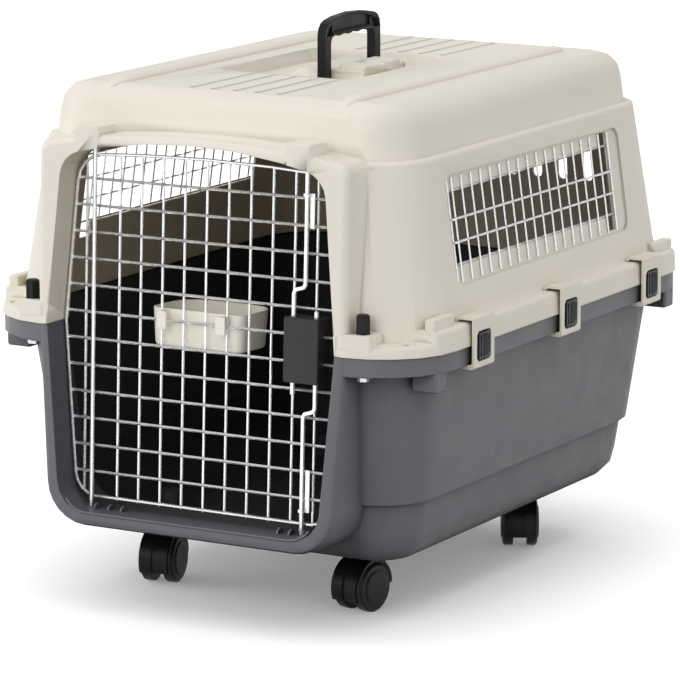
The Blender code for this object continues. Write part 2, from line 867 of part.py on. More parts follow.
def on_corners(low, high, edge=0.0):
    """A box given in the rear right quarter, repeated in all four."""
    shapes = []
    for sign_x in (1, -1):
        for sign_y in (1, -1):
            across = sorted((sign_x * low[0], sign_x * high[0]))
            along = sorted((sign_y * low[1], sign_y * high[1]))
            shapes.append(box((across[0], along[0], low[2]), (across[1], along[1], high[2]), edge))
    return shapes


def wing_pads():
    """The blocks under the knobs, their outer faces following the rim."""
    top = WING_Z + PAD_RISE
    low, high = (PAD_INNER_X, PAD_INNER_Y, SHELL_Z + 0.006), (PAD_OUTER_X, RIM_HALF_DEPTH, top)
    pads = tool("wing_pads", joined("wing_pads", *on_corners(low, high, 0.0025)))
    outline = inside(RIM, WING_PAD_INSET)
    prism = loft([ring(*outline, RIM_Z - 0.05), ring(*outline, top + 0.01)])
    boolean(pads, "INTERSECT", tool("pad_outline", prism))
    return pads


def ledge_blocks():
    """The small raised blocks where the ledges begin."""
    wall = wall_size(LEDGE_Z)[0]
    start = WING_START_Y - 0.0004
    low = (wall - 0.0030, start - LUG_BLOCK_LENGTH, WING_Z + 0.0020)
    high = (wall + LUG_BLOCK_WIDTH, start, LEDGE_Z + LUG_BLOCK_RISE)
    return on_corners(low, high, 0.0015)


def rod_lugs():
    """The two sockets on the brow, over the hinge rod and over the upper bolt."""
    half = SOCKET_LUG_WIDTH / 2
    shapes = []
    for u in (HINGE_U + HINGE_LUG_OFFSET, BOLT_U + BOLT_LUG_OFFSET):
        low = (u - half, -COLLAR_FRONT - 0.0006, OPENING_ABOVE - OPENING_ARCH)
        high = (u + half, 0.0, SOCKET_LUG_TOP)
        shapes.append(turned(box(low, high, 0.0015), DOOR))
    return shapes


def window_recess():
    """The shallow pocket that each window's grille lies in."""
    low, high, start, end = WINDOW_LOW, WINDOW_HIGH, WINDOW_START, WINDOW_END
    corners = [(start, low), (end, low), (end, high), (start, high)]
    outline = rounded([(y, w, WINDOW_CORNER) for y, w in corners])
    return across_wall(plate([outline], -0.006, WINDOW_RECESS))


def last_wire():
    return WINDOW_FIRST_Y + (WINDOW_WIRES - 1) * WINDOW_PITCH


def window_hole():
    """The opening, taller in its last column."""
    low, high = WINDOW_LOW + WINDOW_STRIP, WINDOW_HIGH - WINDOW_STRIP + WINDOW_RIM
    start = WINDOW_START + WINDOW_MARGIN
    end = last_wire()
    column = end - WINDOW_PITCH
    column_low, column_high = WINDOW_LOW + WINDOW_RIM, WINDOW_HIGH - 0.0025
    outline = [
        (start, low),
        (column, low),
        (column, column_low),
        (end, column_low),
        (end, column_high),
        (column, column_high),
        (column, high),
        (start, high),
    ]
    return across_wall(plate([outline], WINDOW_RECESS - 0.0005, WINDOW_RECESS + 0.02))


def across_wall(mesh):
    """Turns a plate from a door-like frame to a side wall's, its depth going inwards."""
    return turned(mesh, Matrix(((0, -1, 0, 0), (1, 0, 0, 0), (0, 0, 1, 0), (0, 0, 0, 1))))


def vents():
    """Round-ended slots through the rear wall."""
    radius = VENT_WIDTH / 2
    shapes = []
    for sign in (-1, 1):
        for number in range(VENTS_A_SIDE):
            x = sign * (VENT_FIRST + number * VENT_PITCH)
            left, right = x - radius, x + radius
            corners = [(left, VENT_LOW_Z), (right, VENT_LOW_Z), (right, VENT_HIGH_Z), (left, VENT_HIGH_Z)]
            outline = rounded([(u, w, radius * 0.98) for u, w in corners], 2)
            shapes.append(plate([outline], RIM_HALF_DEPTH - 0.07, RIM_HALF_DEPTH))
    return shapes


def upright_holes(radius, sides, x, y, low, high):
    """A round hole through each of the four wings."""
    shapes = []
    for sign_x in (1, -1):
        for sign_y in (1, -1):
            hole = cylinder(bore(radius, sides), low, high, sides)
            shapes.append(moved(hole, sign_x * x, sign_y * y, 0))
    return shapes


def rod_hole(u, low, high):
    return turned(moved(cylinder(bore(ROD_RADIUS + SLIDE, 8), low, high, 8), u, ROD_V, 0), DOOR)


def ceiling_at(u):
    """Height w of the opening's ceiling at a place across the door."""
    return crossings(opening_outline(), u, 0)[1]


def handle_boss():
    """The boss between the handle's legs, with a ramp that the folded grip comes down to."""
    floor = ROOF_Z - WELL_DEPTH
    top = ROOF_Z + BOSS_RISE
    outline = [
        (BOSS_RAMP_LEFT, floor - 0.001),
        (BOSS_RIGHT, floor - 0.001),
        (BOSS_RIGHT, top - 0.002),
        (BOSS_RIGHT - 0.002, top),
        (BOSS_LEFT + 0.004, top),
        (BOSS_LEFT, top - 0.001),
        (BOSS_RAMP_LEFT, floor + 0.002),
    ]
    return plate([outline], -BOSS_HALF_Y, BOSS_HALF_Y)


def handle_rest():
    """The raised block beside the grip, with a scoop for the fingers."""
    floor = ROOF_Z - WELL_DEPTH + 0.004
    high = (BOSS_RIGHT + 0.0006, REST_REAR_Y, ROOF_Z + REST_RISE)
    return box((REST_LEFT, REST_FRONT_Y, floor), high, 0.0016)


def rest_scoop():
    middle = (REST_FRONT_Y + REST_REAR_Y) / 2
    height = ROOF_Z + REST_RISE + SCOOP_RADIUS - SCOOP_DEPTH
    bar = cylinder(SCOOP_RADIUS, REST_LEFT + 0.003, BOSS_RIGHT + 0.004, 24)
    return turned(bar, Matrix.Translation((0, middle, height)) @ Matrix.Rotation(math.pi / 2, 4, "Y"))


def pin_holes():
    low, high = BOSS_HALF_Y - PIN_GRIP, BOSS_HALF_Y + 0.004
    shapes = []
    for sign in (-1, 1):
        pin = cylinder(bore(PIN_RADIUS + TOUCH, 8), low, high, 8)
        shapes.append(turned(pin, pivot_frame() @ Matrix.Rotation(-sign * math.pi / 2, 4, "X")))
    return shapes


def upper_shell():
    shell = piece("upper_shell", shell_body(), "shell_cream")
    ledge = tool("ledge_band", band(SHELL_Z + 0.001, LEDGE_Z))
    cut(ledge, tool("wing_corners", wing_corners(SHELL_Z - 0.01)))
    add(shell, ledge)
    add(shell, tool("wing_band", band(SHELL_Z, WING_Z, 0.0002)))
    outer, inner, low = inside(RIM, BAND_WALL), wall_size(LEDGE_Z - SHELL_WALL), SHELL_Z - 0.002
    hollow = band_hollow("ledge_hollow", outer, inner, low, LEDGE_Z - SHELL_WALL)
    cut(hollow, tool("wing_corner_walls", wing_corners(WING_Z - SHELL_WALL, SHELL_WALL)))
    cut(shell, hollow)
    add(shell, tool("upper_collar", collar_block(upper_collar_outline, 0.030), DOOR))
    add(shell, wing_pads())
    trimmings = [rail(-RAIL_X), rail(RAIL_X)] + roof_ribs() + ledge_blocks() + rod_lugs()
    add(shell, tool("shell_trimmings", joined("shell_trimmings", *trimmings)))
    cut(shell, tool("handle_well", well_block(0.0)))
    add(shell, tool("handle_boss", handle_boss()))
    add(shell, tool("handle_rest", handle_rest()))
    cut(shell, tool("rest_scoop", rest_scoop()))
    cut(shell, shell_cavity())
    cut(shell, tunnel("upper_tunnel"))
    below = box((-0.5, -0.5, SHELL_Z - 0.06), (0.5, 0.5, SHELL_Z))
    cut(shell, tool("below_shell", below))
    for side, name in ((1, "right"), (-1, "left")):
        cut(shell, tool("window_recess_" + name, window_recess(), side_frame(side)))
        cut(shell, tool("window_hole_" + name, window_hole(), side_frame(side)))
    top = SOCKET_LUG_TOP - 0.003
    holes = vents() + pin_holes()
    low = SHELL_Z - 0.01
    holes += upright_holes(BOLT_RADIUS + SLIDE, 8, KNOB_X, KNOB_Y, low, WING_Z + PAD_RISE + 0.01)
    holes += upright_holes(TIE_HOLE_RADIUS, 6, TIE_HOLE_X, TIE_HOLE_Y, low, WING_Z + 0.01)
    holes += [rod_hole(u, ceiling_at(u) - 0.004, top) for u in (HINGE_U, BOLT_U)]
    cut(shell, tool("shell_holes", joined("shell_holes", *holes)))
    return shell


# Lower tub


def tub_rings(wall, top):
    """The tub's rings from its bottom up, as its outer skin or drawn in by a wall."""
    bottom = CASTER_HEIGHT
    step_z = bottom + STEP_HEIGHT
    low = inside(tub_size(bottom + FOOT_ROUND), STEP_INSET)
    radius = FOOT_ROUND - wall
    rings = []
    for step in range(FOOT_STEPS + 1):
        angle = math.pi / 2 * (1 - step / FOOT_STEPS)
        drawn = inside(low, wall + radius * (1 - math.cos(angle)))
        rings.append(ring(*drawn, bottom + FOOT_ROUND - radius * math.sin(angle)))
    rings.append(ring(*inside(tub_size(step_z), STEP_INSET + wall), step_z - 0.001 + wall))
    rings.append(ring(*inside(tub_size(step_z), wall + 0.001), step_z + 0.001 + wall))
    rings.append(ring(*inside(tub_size(step_z), wall), step_z + 0.003 + wall))
    rings.append(ring(*inside(tub_size(top), wall), top))
    return rings


def lower_tub():
    skirt = inside(RIM, SKIRT_INSET)
    skirt_z = RIM_Z - SKIRT_HEIGHT
    rings = tub_rings(0.0, skirt_z)
    rings += [ring(*skirt, skirt_z), ring(*skirt, RIM_Z)]
    tub = piece("lower_tub", loft(rings), "tub_grey")
    plate_z = RIM_Z - SHELL_WALL
    channel = inside(skirt, BAND_WALL)
    cut(tub, band_hollow("skirt_hollow", channel, tub_size(skirt_z), skirt_z - 0.002, plate_z))
    add(tub, tool("lower_collar", collar_block(lower_collar_outline, 0.045), DOOR))
    wall = tub_size(RIM_Z)[0]
    low = (PAD_INNER_X, PAD_INNER_Y, RIM_Z - PAD_DROP)
    high = (PAD_OUTER_X, RIM_HALF_DEPTH, RIM_Z - 0.001)
    pads = tool("tub_pads", joined("tub_pads", *on_corners(low, high)))
    outline = inside(skirt, 0.0004)
    prism = loft([ring(*outline, RIM_Z - 0.05), ring(*outline, RIM_Z)])
    boolean(pads, "INTERSECT", tool("tub_pad_outline", prism))
    add(tub, pads)
    sockets = on_corners(
        (wall - 0.014, SOCKET_Y, RIM_Z - SOCKET_DROP),
        (wall + SOCKET_WIDTH, SOCKET_Y + SOCKET_LENGTH, RIM_Z - 0.001),
        0.002,
    )
    add(tub, tool("tub_sockets", joined("tub_sockets", *sockets)))
    cavity = tool("tub_cavity", loft(tub_rings(SHELL_WALL, RIM_Z + 0.002)))
    cut(cavity, lining("tub_lining"))
    bosses = [moved(caster_boss(), x, y, 0) for x, y in caster_places().values()]
    cut(cavity, tool("caster_bosses", joined("caster_bosses", *bosses)))
    cut(tub, cavity)
    cut(tub, tunnel("lower_tunnel"))
    cut(tub, tool("above_tub", box((-0.5, -0.5, RIM_Z), (0.5, 0.5, RIM_Z + 0.06))))
    add(tub, tool("sill_ribs", joined("sill_ribs", *sill_ribs())))
    holes = upright_holes(BOLT_RADIUS + SLIDE, 8, KNOB_X, KNOB_Y, RIM_Z - PAD_DROP - 0.01, RIM_Z + 0.01)
    holes += upright_holes(TIE_HOLE_RADIUS, 6, TIE_HOLE_X, TIE_HOLE_Y, RIM_Z - 0.01, RIM_Z + 0.01)
    sill = -OPENING_BELOW
    for u in (HINGE_U, BOLT_U):
        holes.append(rod_hole(u, sill - HINGE_DEPTH - TOUCH, sill + 0.004))
    stem_top = CASTER_HEIGHT + STEM_INSERTION
    for x, y in caster_places().values():
        stem = cylinder(bore(STEM_RADIUS + SLIDE, 12), CASTER_HEIGHT - 0.01, stem_top, 12)
        holes.append(moved(stem, x, y, 0))
    cut(tub, tool("tub_holes", joined("tub_holes", *holes)))
    return tub


def caster_boss():
    """The post on the tub's floor that holds a caster's stem."""
    return cylinder(CASTER_BOSS_RADIUS, CASTER_HEIGHT - 0.002, CASTER_HEIGHT + CASTER_BOSS_HEIGHT, 12)


def sill_ribs():
    """Small arched ribs beside the rods on the sill."""
    shapes = []
    places = [HINGE_U + offset for offset in HINGE_RIB_PLACES]
    places += [BOLT_U + offset for offset in BOLT_RIB_PLACES]
    half = SILL_RIB_LENGTH / 2
    for u in places:
        arc = [(-half, -0.002)]
        for step in range(5):
            angle = math.pi * (1 - step / 4)
            arc.append((half * math.cos(angle), SILL_RIB_HEIGHT * math.sin(angle) - SILL_RIB_SINK))
        arc.append((half, -0.002))
        flat = plate([arc], -SILL_RIB_THICKNESS / 2, SILL_RIB_THICKNESS / 2)
        rib = turned(flat, Matrix.Rotation(math.pi / 2, 4, "Z"))
        shapes.append(turned(moved(rib, u, ROD_V - 0.002, -OPENING_BELOW), DOOR))
    return shapes


# Side window grilles


def window_grille(side, name):
    """Upright wires in the recess, two bars over them and two behind them along the hole's edges."""
    upright_x = -WINDOW_RECESS + TOUCH + WINDOW_WIRE
    step = 2 * WINDOW_WIRE - WINDOW_SINK
    low, high = WINDOW_LOW + 0.0030, WINDOW_HIGH - 0.0030
    uprights = []
    for number in range(WINDOW_WIRES):
        y = WINDOW_FIRST_Y + number * WINDOW_PITCH
        uprights.append([(upright_x, y, low), (upright_x, y, high)])
    bars = []
    start, end = WINDOW_FIRST_Y - 0.0020, last_wire() + 0.0020
    for w in WINDOW_ROWS:
        bars.append([(upright_x + step, start, w), (upright_x + step, end, w)])
    edge = WINDOW_STRIP + WINDOW_WIRE + TOUCH
    start, end = WINDOW_START + WINDOW_MARGIN + TOUCH, last_wire() - TOUCH
    for w in (WINDOW_LOW + edge, WINDOW_HIGH + WINDOW_RIM - edge):
        bars.append([(upright_x - step, start, w), (upright_x - step, end, w)])
    frame = side_frame(side)
    grille = piece("window_grille_" + name, wires(uprights, WINDOW_WIRE, 0), "wire_chrome", frame)
    add(grille, tool("window_bars_" + name, wires(bars, WINDOW_WIRE, 0), frame))
    return grille


# Door


def door_grille(parent):
    """The outer wire, the upright wires behind it and the cross wires in its plane, welded."""
    outline = frame_outline()
    uprights = []
    places = [EDGE_WIRE_U] + [column * CELL for column in range(FIRST_COLUMN, LAST_COLUMN + 1)]
    for u in places:
        low, high = crossings(outline, u, 0)
        uprights.append([(u, 0, low - WIRE_TAIL), (u, 0, high + WIRE_TAIL / 3)])
    cross = []
    for number in range(FIRST_ROW, LAST_ROW + 1):
        w = ROW_OFFSET + number * ROW
        low, high = crossings(outline, w, 1)
        cross.append([(low, ROW_V, w), (high, ROW_V, w)])
    door = piece("door_grille", wires(uprights, WIRE_RADIUS, 1), "wire_chrome", DOOR, parent)
    add(door, tool("cross_wires", wires(cross, WIRE_RADIUS, 0), DOOR))
    frame = wires([[(u, ROW_V, w) for u, w in outline]], FRAME_RADIUS, 1, cyclic=True)
    add(door, tool("frame_wire", frame, DOOR))
    return door


def hinge_rod(parent):
    low = -OPENING_BELOW - HINGE_DEPTH
    high = SOCKET_LUG_TOP - 0.0045
    path = [[(HINGE_U, ROD_V, low), (HINGE_U, ROD_V, high)]]
    return piece("hinge_rod", wires(path, ROD_RADIUS, 2), "wire_chrome", DOOR, parent)


def bolt(name, path, seat, parent):
    """A cranked rod with the seat that the spring pushes on."""
    rod = piece(name, wires([path], ROD_RADIUS, 2), "wire_chrome", DOOR, parent)
    add(rod, tool(name + "_seat", seat, DOOR))
    return rod


def crank(u, other_u, w, way):
    """The bend that carries a rod from one line to another."""
    return [
        (u, ROD_V, w),
        (u + (other_u - u) * 0.15, ROD_V, w + way * CRANK_LENGTH * 0.35),
        (u + (other_u - u) * 0.85, ROD_V, w + way * CRANK_LENGTH * 0.65),
        (other_u, ROD_V, w + way * CRANK_LENGTH),
    ]


def upper_bolt(parent):
    u = BOLT_U - BOLT_CRANK
    path = [(u, ROD_V, HOUSING_BOTTOM - TIP_BELOW_LENGTH)] + crank(u, BOLT_U, UPPER_CRANK_W, 1)
    path.append((BOLT_U, ROD_V, ceiling_at(BOLT_U) - BOLT_GAP))
    low = (u - 0.001, spring_v() - 0.0035, SEAT_UPPER_W)
    high = (BOLT_U + 0.004, ROD_V + ROD_RADIUS - 0.0003, SEAT_UPPER_W + SEAT_HEIGHT)
    return bolt("upper_bolt", path, box(low, high), parent)


def lower_bolt(parent):
    u = BOLT_U + BOLT_CRANK
    path = [(u, ROD_V, HOUSING_TOP + TIP_LENGTH)] + crank(u, BOLT_U, LOWER_CRANK_W, -1)
    path.append((BOLT_U, ROD_V, -OPENING_BELOW + BOLT_GAP))
    low = (BOLT_U - 0.004, spring_v() - 0.0035, SEAT_LOWER_W)
    high = (u + 0.001, ROD_V + ROD_RADIUS - 0.0003, SEAT_LOWER_W + SEAT_HEIGHT)
    return bolt("lower_bolt", path, box(low, high), parent)


SEAT_UPPER_W = HOUSING_TOP - HOUSING_WALL - BOLT_TRAVEL - SEAT_HEIGHT - 0.0006
SEAT_LOWER_W = HOUSING_BOTTOM + HOUSING_WALL + BOLT_TRAVEL + 0.0006


def spring_v():
    return ROD_V - 0.0022


def latch_spring(parent):
    """A coil between the two bolts' seats."""
    low = SEAT_LOWER_W + SEAT_HEIGHT + SPRING_WIRE + TOUCH
    high = SEAT_UPPER_W - SPRING_WIRE - TOUCH
    path = []
    count = SPRING_TURNS * 8
    for number in range(count + 1):
        angle = 2 * math.pi * number / 8
        w = low + (high - low) * number / count
        u = BOLT_U + SPRING_RADIUS * math.cos(angle)
        path.append((u, spring_v() + SPRING_RADIUS * math.sin(angle), w))
    return piece("latch_spring", wires([path], SPRING_WIRE, 0), "steel_zinc", DOOR, parent)


def latch_housing(parent):
    """A thin-walled box closed round the wires, with slots for them and for the bolts."""
    column = (LAST_COLUMN - 1) * CELL
    left = column - WIRE_RADIUS - SLIDE - HOUSING_WALL
    right = 2 * BOLT_U - left
    outer = box((left, HOUSING_FRONT, HOUSING_BOTTOM), (right, HOUSING_BACK, HOUSING_TOP), HOUSING_EDGE)
    housing = piece("latch_housing", outer, "fitting_black", DOOR, parent)
    wall = HOUSING_WALL
    low = (left + wall, HOUSING_FRONT + wall, HOUSING_BOTTOM + wall)
    high = (right - wall, HOUSING_BACK - wall, HOUSING_TOP - wall)
    cut(housing, tool("housing_hollow", box(low, high), DOOR))
    front = ROD_V - ROD_RADIUS - SLIDE
    back = WIRE_RADIUS + SLIDE
    slots = []
    for u, other in ((column, BOLT_U - BOLT_CRANK), (column + CELL, BOLT_U + BOLT_CRANK)):
        edge = WIRE_RADIUS + SLIDE
        far = other + ROD_RADIUS + SLIDE
        slots.append(box((u - edge, front, HOUSING_BOTTOM - 0.01), (far, back, HOUSING_TOP + 0.01)))
    cut(housing, tool("housing_rod_slots", joined("rod_slots", *slots), DOOR))
    reach = WIRE_RADIUS + SLIDE
    slots = []
    for number in range(FIRST_ROW, LAST_ROW + 1):
        w = ROW_OFFSET + number * ROW
        if HOUSING_BOTTOM < w < HOUSING_TOP:
            low = (left - 0.01, ROW_V - reach, w - reach)
            slots.append(box(low, (right + 0.01, ROW_V + reach, w + reach)))
    cut(housing, tool("housing_row_slots", joined("row_slots", *slots), DOOR))
    return housing


def rod_guide(name, rows, ring_w, parent):
    """A strip over two cross wires with a ring round the bolt at one end."""
    left = BOLT_U + ROD_RADIUS + TOUCH
    right = LAST_COLUMN * CELL - WIRE_RADIUS - TOUCH
    back = ROW_V - WIRE_RADIUS - TOUCH
    low = min(rows[0] - GUIDE_OVERHANG, ring_w)
    high = max(rows[1] + GUIDE_OVERHANG, ring_w + GUIDE_RING_HEIGHT)
    strip = box((left, back - GUIDE_THICKNESS, low), (right, back, high))
    guide = piece(name, strip, "wire_chrome", DOOR, parent)
    outer = cylinder(bore(ROD_RADIUS + SLIDE + GUIDE_RING, 12), ring_w, ring_w + GUIDE_RING_HEIGHT, 12)
    add(guide, tool(name + "_ring", moved(outer, BOLT_U, ROD_V, 0), DOOR))
    inner = cylinder(bore(ROD_RADIUS + SLIDE, 12), ring_w - 0.01, ring_w + GUIDE_RING_HEIGHT + 0.01, 12)
    cut(guide, tool(name + "_bore", moved(inner, BOLT_U, ROD_V, 0), DOOR))
    return guide


# Bowl


def bowl_ring(inset, w):
    """The bowl's outline at a height: nearly square in front, well rounded behind."""
    left, right = BOWL_LEFT + inset, BOWL_RIGHT - inset
    front, back = BOWL_FRONT + inset, BOWL_FRONT + BOWL_DEPTH - inset
    front_corner = max(BOWL_FRONT_CORNER - inset, 0.001)
    back_corner = BOWL_BACK_CORNER - inset
    middle = (left + right) / 2
    crown = back + 0.0030
    corners = [(left, front, front_corner), (right, front, front_corner), (right, back, back_corner)]
    corners += [(middle, crown, 0.0), (left, back, back_corner)]
    return [(u, v, w) for u, v in rounded(corners)]


def bowl(parent):
    """A shallow dish with two hooks that hang it on a cross wire."""
    low = BOWL_TOP - BOWL_HEIGHT
    foot = BOWL_FOOT_ROUND
    wall = BOWL_WALL
    rings = [
        bowl_ring(BOWL_DRAFT + foot, low),
        bowl_ring(BOWL_DRAFT + foot * 0.3, low + foot * 0.3),
        bowl_ring(BOWL_DRAFT, low + foot),
        bowl_ring(0.0, BOWL_TOP),
        bowl_ring(wall, BOWL_TOP),
        bowl_ring(BOWL_DRAFT + wall, low + foot),
        bowl_ring(BOWL_DRAFT + foot, low + wall),
    ]
    dish = piece("bowl", loft(rings), "shell_cream", DOOR, parent)
    over = ROW_OFFSET + WIRE_RADIUS + TOUCH
    front = ROW_V - WIRE_RADIUS - TOUCH - HOOK_THICKNESS
    webs, tongues = [], []
    for u in (HOOK_U, HOOK_U - HOOK_PITCH):
        top = ROW_OFFSET + HOOK_ABOVE
        webs.append(box((u, front, over), (u + HOOK_WEB, BOWL_FRONT + BOWL_WALL * 0.8, top)))
        high = (u + HOOK_WIDTH, front + HOOK_THICKNESS, top)
        tongues.append(box((u - HOOK_OVERHANG, front, top - HOOK_LENGTH), high))
    add(dish, tool("hook_webs", joined("hook_webs", *webs), DOOR))
    add(dish, tool("hook_tongues", joined("hook_tongues", *tongues), DOOR))
    return dish


# Handle


def pivot_frame():
    return Matrix.Translation((HANDLE_X, 0, ROOF_Z - HANDLE_PIVOT_DROP))


def handle_outline(inset=0.0):
    """The handle seen from the side: y across and z up from its pivot."""
    half = HANDLE_HALF_Y - inset
    leg = HANDLE_LEG - 2 * inset
    top = HANDLE_RISE - inset
    eaves = top - HANDLE_ARCH
    inner_half = half - leg
    under = HANDLE_RISE - HANDLE_ARCH * 0.4 - HANDLE_GRIP + inset
    foot = -HANDLE_FOOT + inset
    corner = HANDLE_CORNER - inset
    leg_round = leg * 0.48
    corners = [(half, foot, leg_round)]
    corners += [(half, eaves, corner)]
    corners += arch_points(half, top, HANDLE_ARCH, 3)
    corners += [(-half, eaves, corner), (-half, foot, leg_round), (-inner_half, foot, leg_round)]
    corners += [(-inner_half, under, HANDLE_INNER_CORNER)]
    span = (inner_half - HANDLE_INNER_CORNER) * 2
    for number in range(SCALLOPS * 4 + 1):
        share = number / (SCALLOPS * 4)
        wave = math.cos(share * SCALLOPS * 2 * math.pi)
        corners.append((-span / 2 + span * share, under - SCALLOP_DEPTH * (1 - wave) / 2, 0.0))
    corners += [(inner_half, under, HANDLE_INNER_CORNER), (inner_half, foot, leg_round)]
    return rounded(corners, 3)


def handle():
    """A flat arched bail, recessed on both faces, on two pins across the roof's boss."""
    across = Matrix.Rotation(math.pi / 2, 4, "Z")
    half = HANDLE_THICKNESS / 2
    parent = joint_empty("handle_axis", pivot_frame())
    body = turned(plate([handle_outline()], -half, half), across)
    bail = piece("handle", body, "fitting_black", pivot_frame(), parent)
    recess_low = half - HANDLE_RECESS
    top = HANDLE_RISE - HANDLE_RIM
    under = HANDLE_RISE - HANDLE_ARCH * 0.4 - HANDLE_GRIP + HANDLE_RIM
    half_y = HANDLE_HALF_Y - HANDLE_CORNER
    corners = [(-half_y, under, 0.002), (half_y, under, 0.002), (half_y, top - HANDLE_ARCH, 0.002)]
    corners += arch_points(half_y, top, HANDLE_ARCH * 0.7, 3)
    corners += [(-half_y, top - HANDLE_ARCH, 0.002)]
    outline = rounded(corners, 2)
    recesses = [plate([outline], recess_low, half + 0.01), plate([outline], -half - 0.01, -recess_low)]
    cut(bail, tool("handle_recesses", turned(joined("recesses", *recesses), across), pivot_frame()))
    sides = 12
    hole = cylinder(bore(PIN_RADIUS + SLIDE, sides), -HANDLE_HALF_Y + 0.0015, HANDLE_HALF_Y - 0.0015, sides)
    cut(bail, tool("handle_bore", turned(hole, Matrix.Rotation(math.pi / 2, 4, "X")), pivot_frame()))
    for sign, name in ((-1, "front"), (1, "rear")):
        low, high = BOSS_HALF_Y - PIN_GRIP + TOUCH, HANDLE_HALF_Y - 0.0020
        pin = turned(cylinder(PIN_RADIUS, low, high, sides), Matrix.Rotation(-sign * math.pi / 2, 4, "X"))
        piece("handle_pin_" + name, pin, "steel_zinc", pivot_frame())
    return bail


# Rim latches


def latch_profile():
    """The latch's section from its knuckle over the rim and round the flange below: x outwards, z up."""
    knuckle_x, knuckle_z = knuckle_place()
    inner = RIM_HALF_WIDTH + LATCH_GAP
    outer = inner + LATCH_PLATE
    top = knuckle_z + KNUCKLE_RADIUS
    under = top - LATCH_PLATE
    skirt_x = RIM_HALF_WIDTH - SKIRT_INSET
    skirt_z = RIM_Z - SKIRT_HEIGHT
    swing = math.hypot(skirt_x - knuckle_x, skirt_z - knuckle_z) + SLIDE
    arc = []
    for share in (0.0, 0.5, 1.0):
        x = inner - LATCH_LIP * share
        arc.append((x, knuckle_z - math.sqrt(swing**2 - (x - knuckle_x) ** 2)))
    lip_low = arc[-1][1] - LATCH_LIP_THICKNESS
    edge = LATCH_EDGE
    points = [(outer - edge, top), (outer - edge * 0.3, top - edge * 0.3), (outer, top - edge)]
    points += [(outer, lip_low + edge), (outer - edge, lip_low), (arc[-1][0], lip_low)]
    points += arc[::-1] + [(inner, under)]
    reach = math.sqrt(KNUCKLE_RADIUS**2 - (under - knuckle_z) ** 2)
    points.append((knuckle_x + reach, under))
    start = math.atan2(under - knuckle_z, reach)
    for step in range(1, 6):
        angle = start - (start + 1.5 * math.pi) * step / 5
        x = knuckle_x + KNUCKLE_RADIUS * math.cos(angle)
        points.append((x, knuckle_z + KNUCKLE_RADIUS * math.sin(angle)))
    return points


def knuckle_place():
    wall_x = wall_size(LEDGE_Z)[0]
    return wall_x + KNUCKLE_WALL_GAP + KNUCKLE_RADIUS, LEDGE_Z + SLIDE + KNUCKLE_RADIUS


def rounded_ring(half_y, half_z, radius, x):
    corners = [(-half_y, -half_z), (half_y, -half_z), (half_y, half_z), (-half_y, half_z)]
    return [(x, y, z) for y, z in rounded([(y, z, radius) for y, z in corners], 1)]


def rim_latch(side, y, name):
    """A hooked clamp over the rim, with a button in its face."""
    turn = Matrix.Rotation(0 if side > 0 else math.pi, 4, "Z")
    knuckle_x, knuckle_z = knuckle_place()
    frame = turn @ Matrix.Translation((0, side * y, 0))
    axis = joint_empty("latch_axis_" + name, frame @ Matrix.Translation((knuckle_x, 0, knuckle_z)))
    half = LATCH_WIDTH / 2
    clamp = piece("rim_latch_" + name, plate([latch_profile()], -half, half), "shell_cream", frame, axis)
    low_half, high_half = BUTTON_WIDTH / 2, BUTTON_HEIGHT / 2
    middle_z = LEDGE_Z - BUTTON_TOP_DROP - high_half
    inner = RIM_HALF_WIDTH + LATCH_GAP
    outer = inner + LATCH_PLATE
    at_button = frame @ Matrix.Translation((0, 0, middle_z))
    gap = SLIDE
    window = [
        rounded_ring(low_half + gap, high_half + gap, BUTTON_CORNER, inner - 0.002),
        rounded_ring(low_half + gap, high_half + gap, BUTTON_CORNER, outer + 0.002),
    ]
    cut(clamp, tool("button_window_" + name, loft(window), at_button))
    button_axis = joint_empty("button_axis_" + name, at_button @ Matrix.Translation((outer, 0, 0)), axis)
    flange, back = BUTTON_FLANGE, inner - TOUCH - BUTTON_FLANGE_THICKNESS
    button = [
        rounded_ring(low_half + flange, high_half + flange, BUTTON_CORNER + flange, back),
        rounded_ring(low_half + flange, high_half + flange, BUTTON_CORNER + flange, inner - TOUCH),
        rounded_ring(low_half, high_half, BUTTON_CORNER, inner - TOUCH + 0.0001),
        rounded_ring(low_half, high_half, BUTTON_CORNER, outer + BUTTON_RISE - 0.0006),
        rounded_ring(low_half - 0.0008, high_half - 0.0008, BUTTON_CORNER, outer + BUTTON_RISE),
    ]
    piece("latch_button_" + name, loft(button), "clip_grey", at_button, button_axis)


# Wing knobs


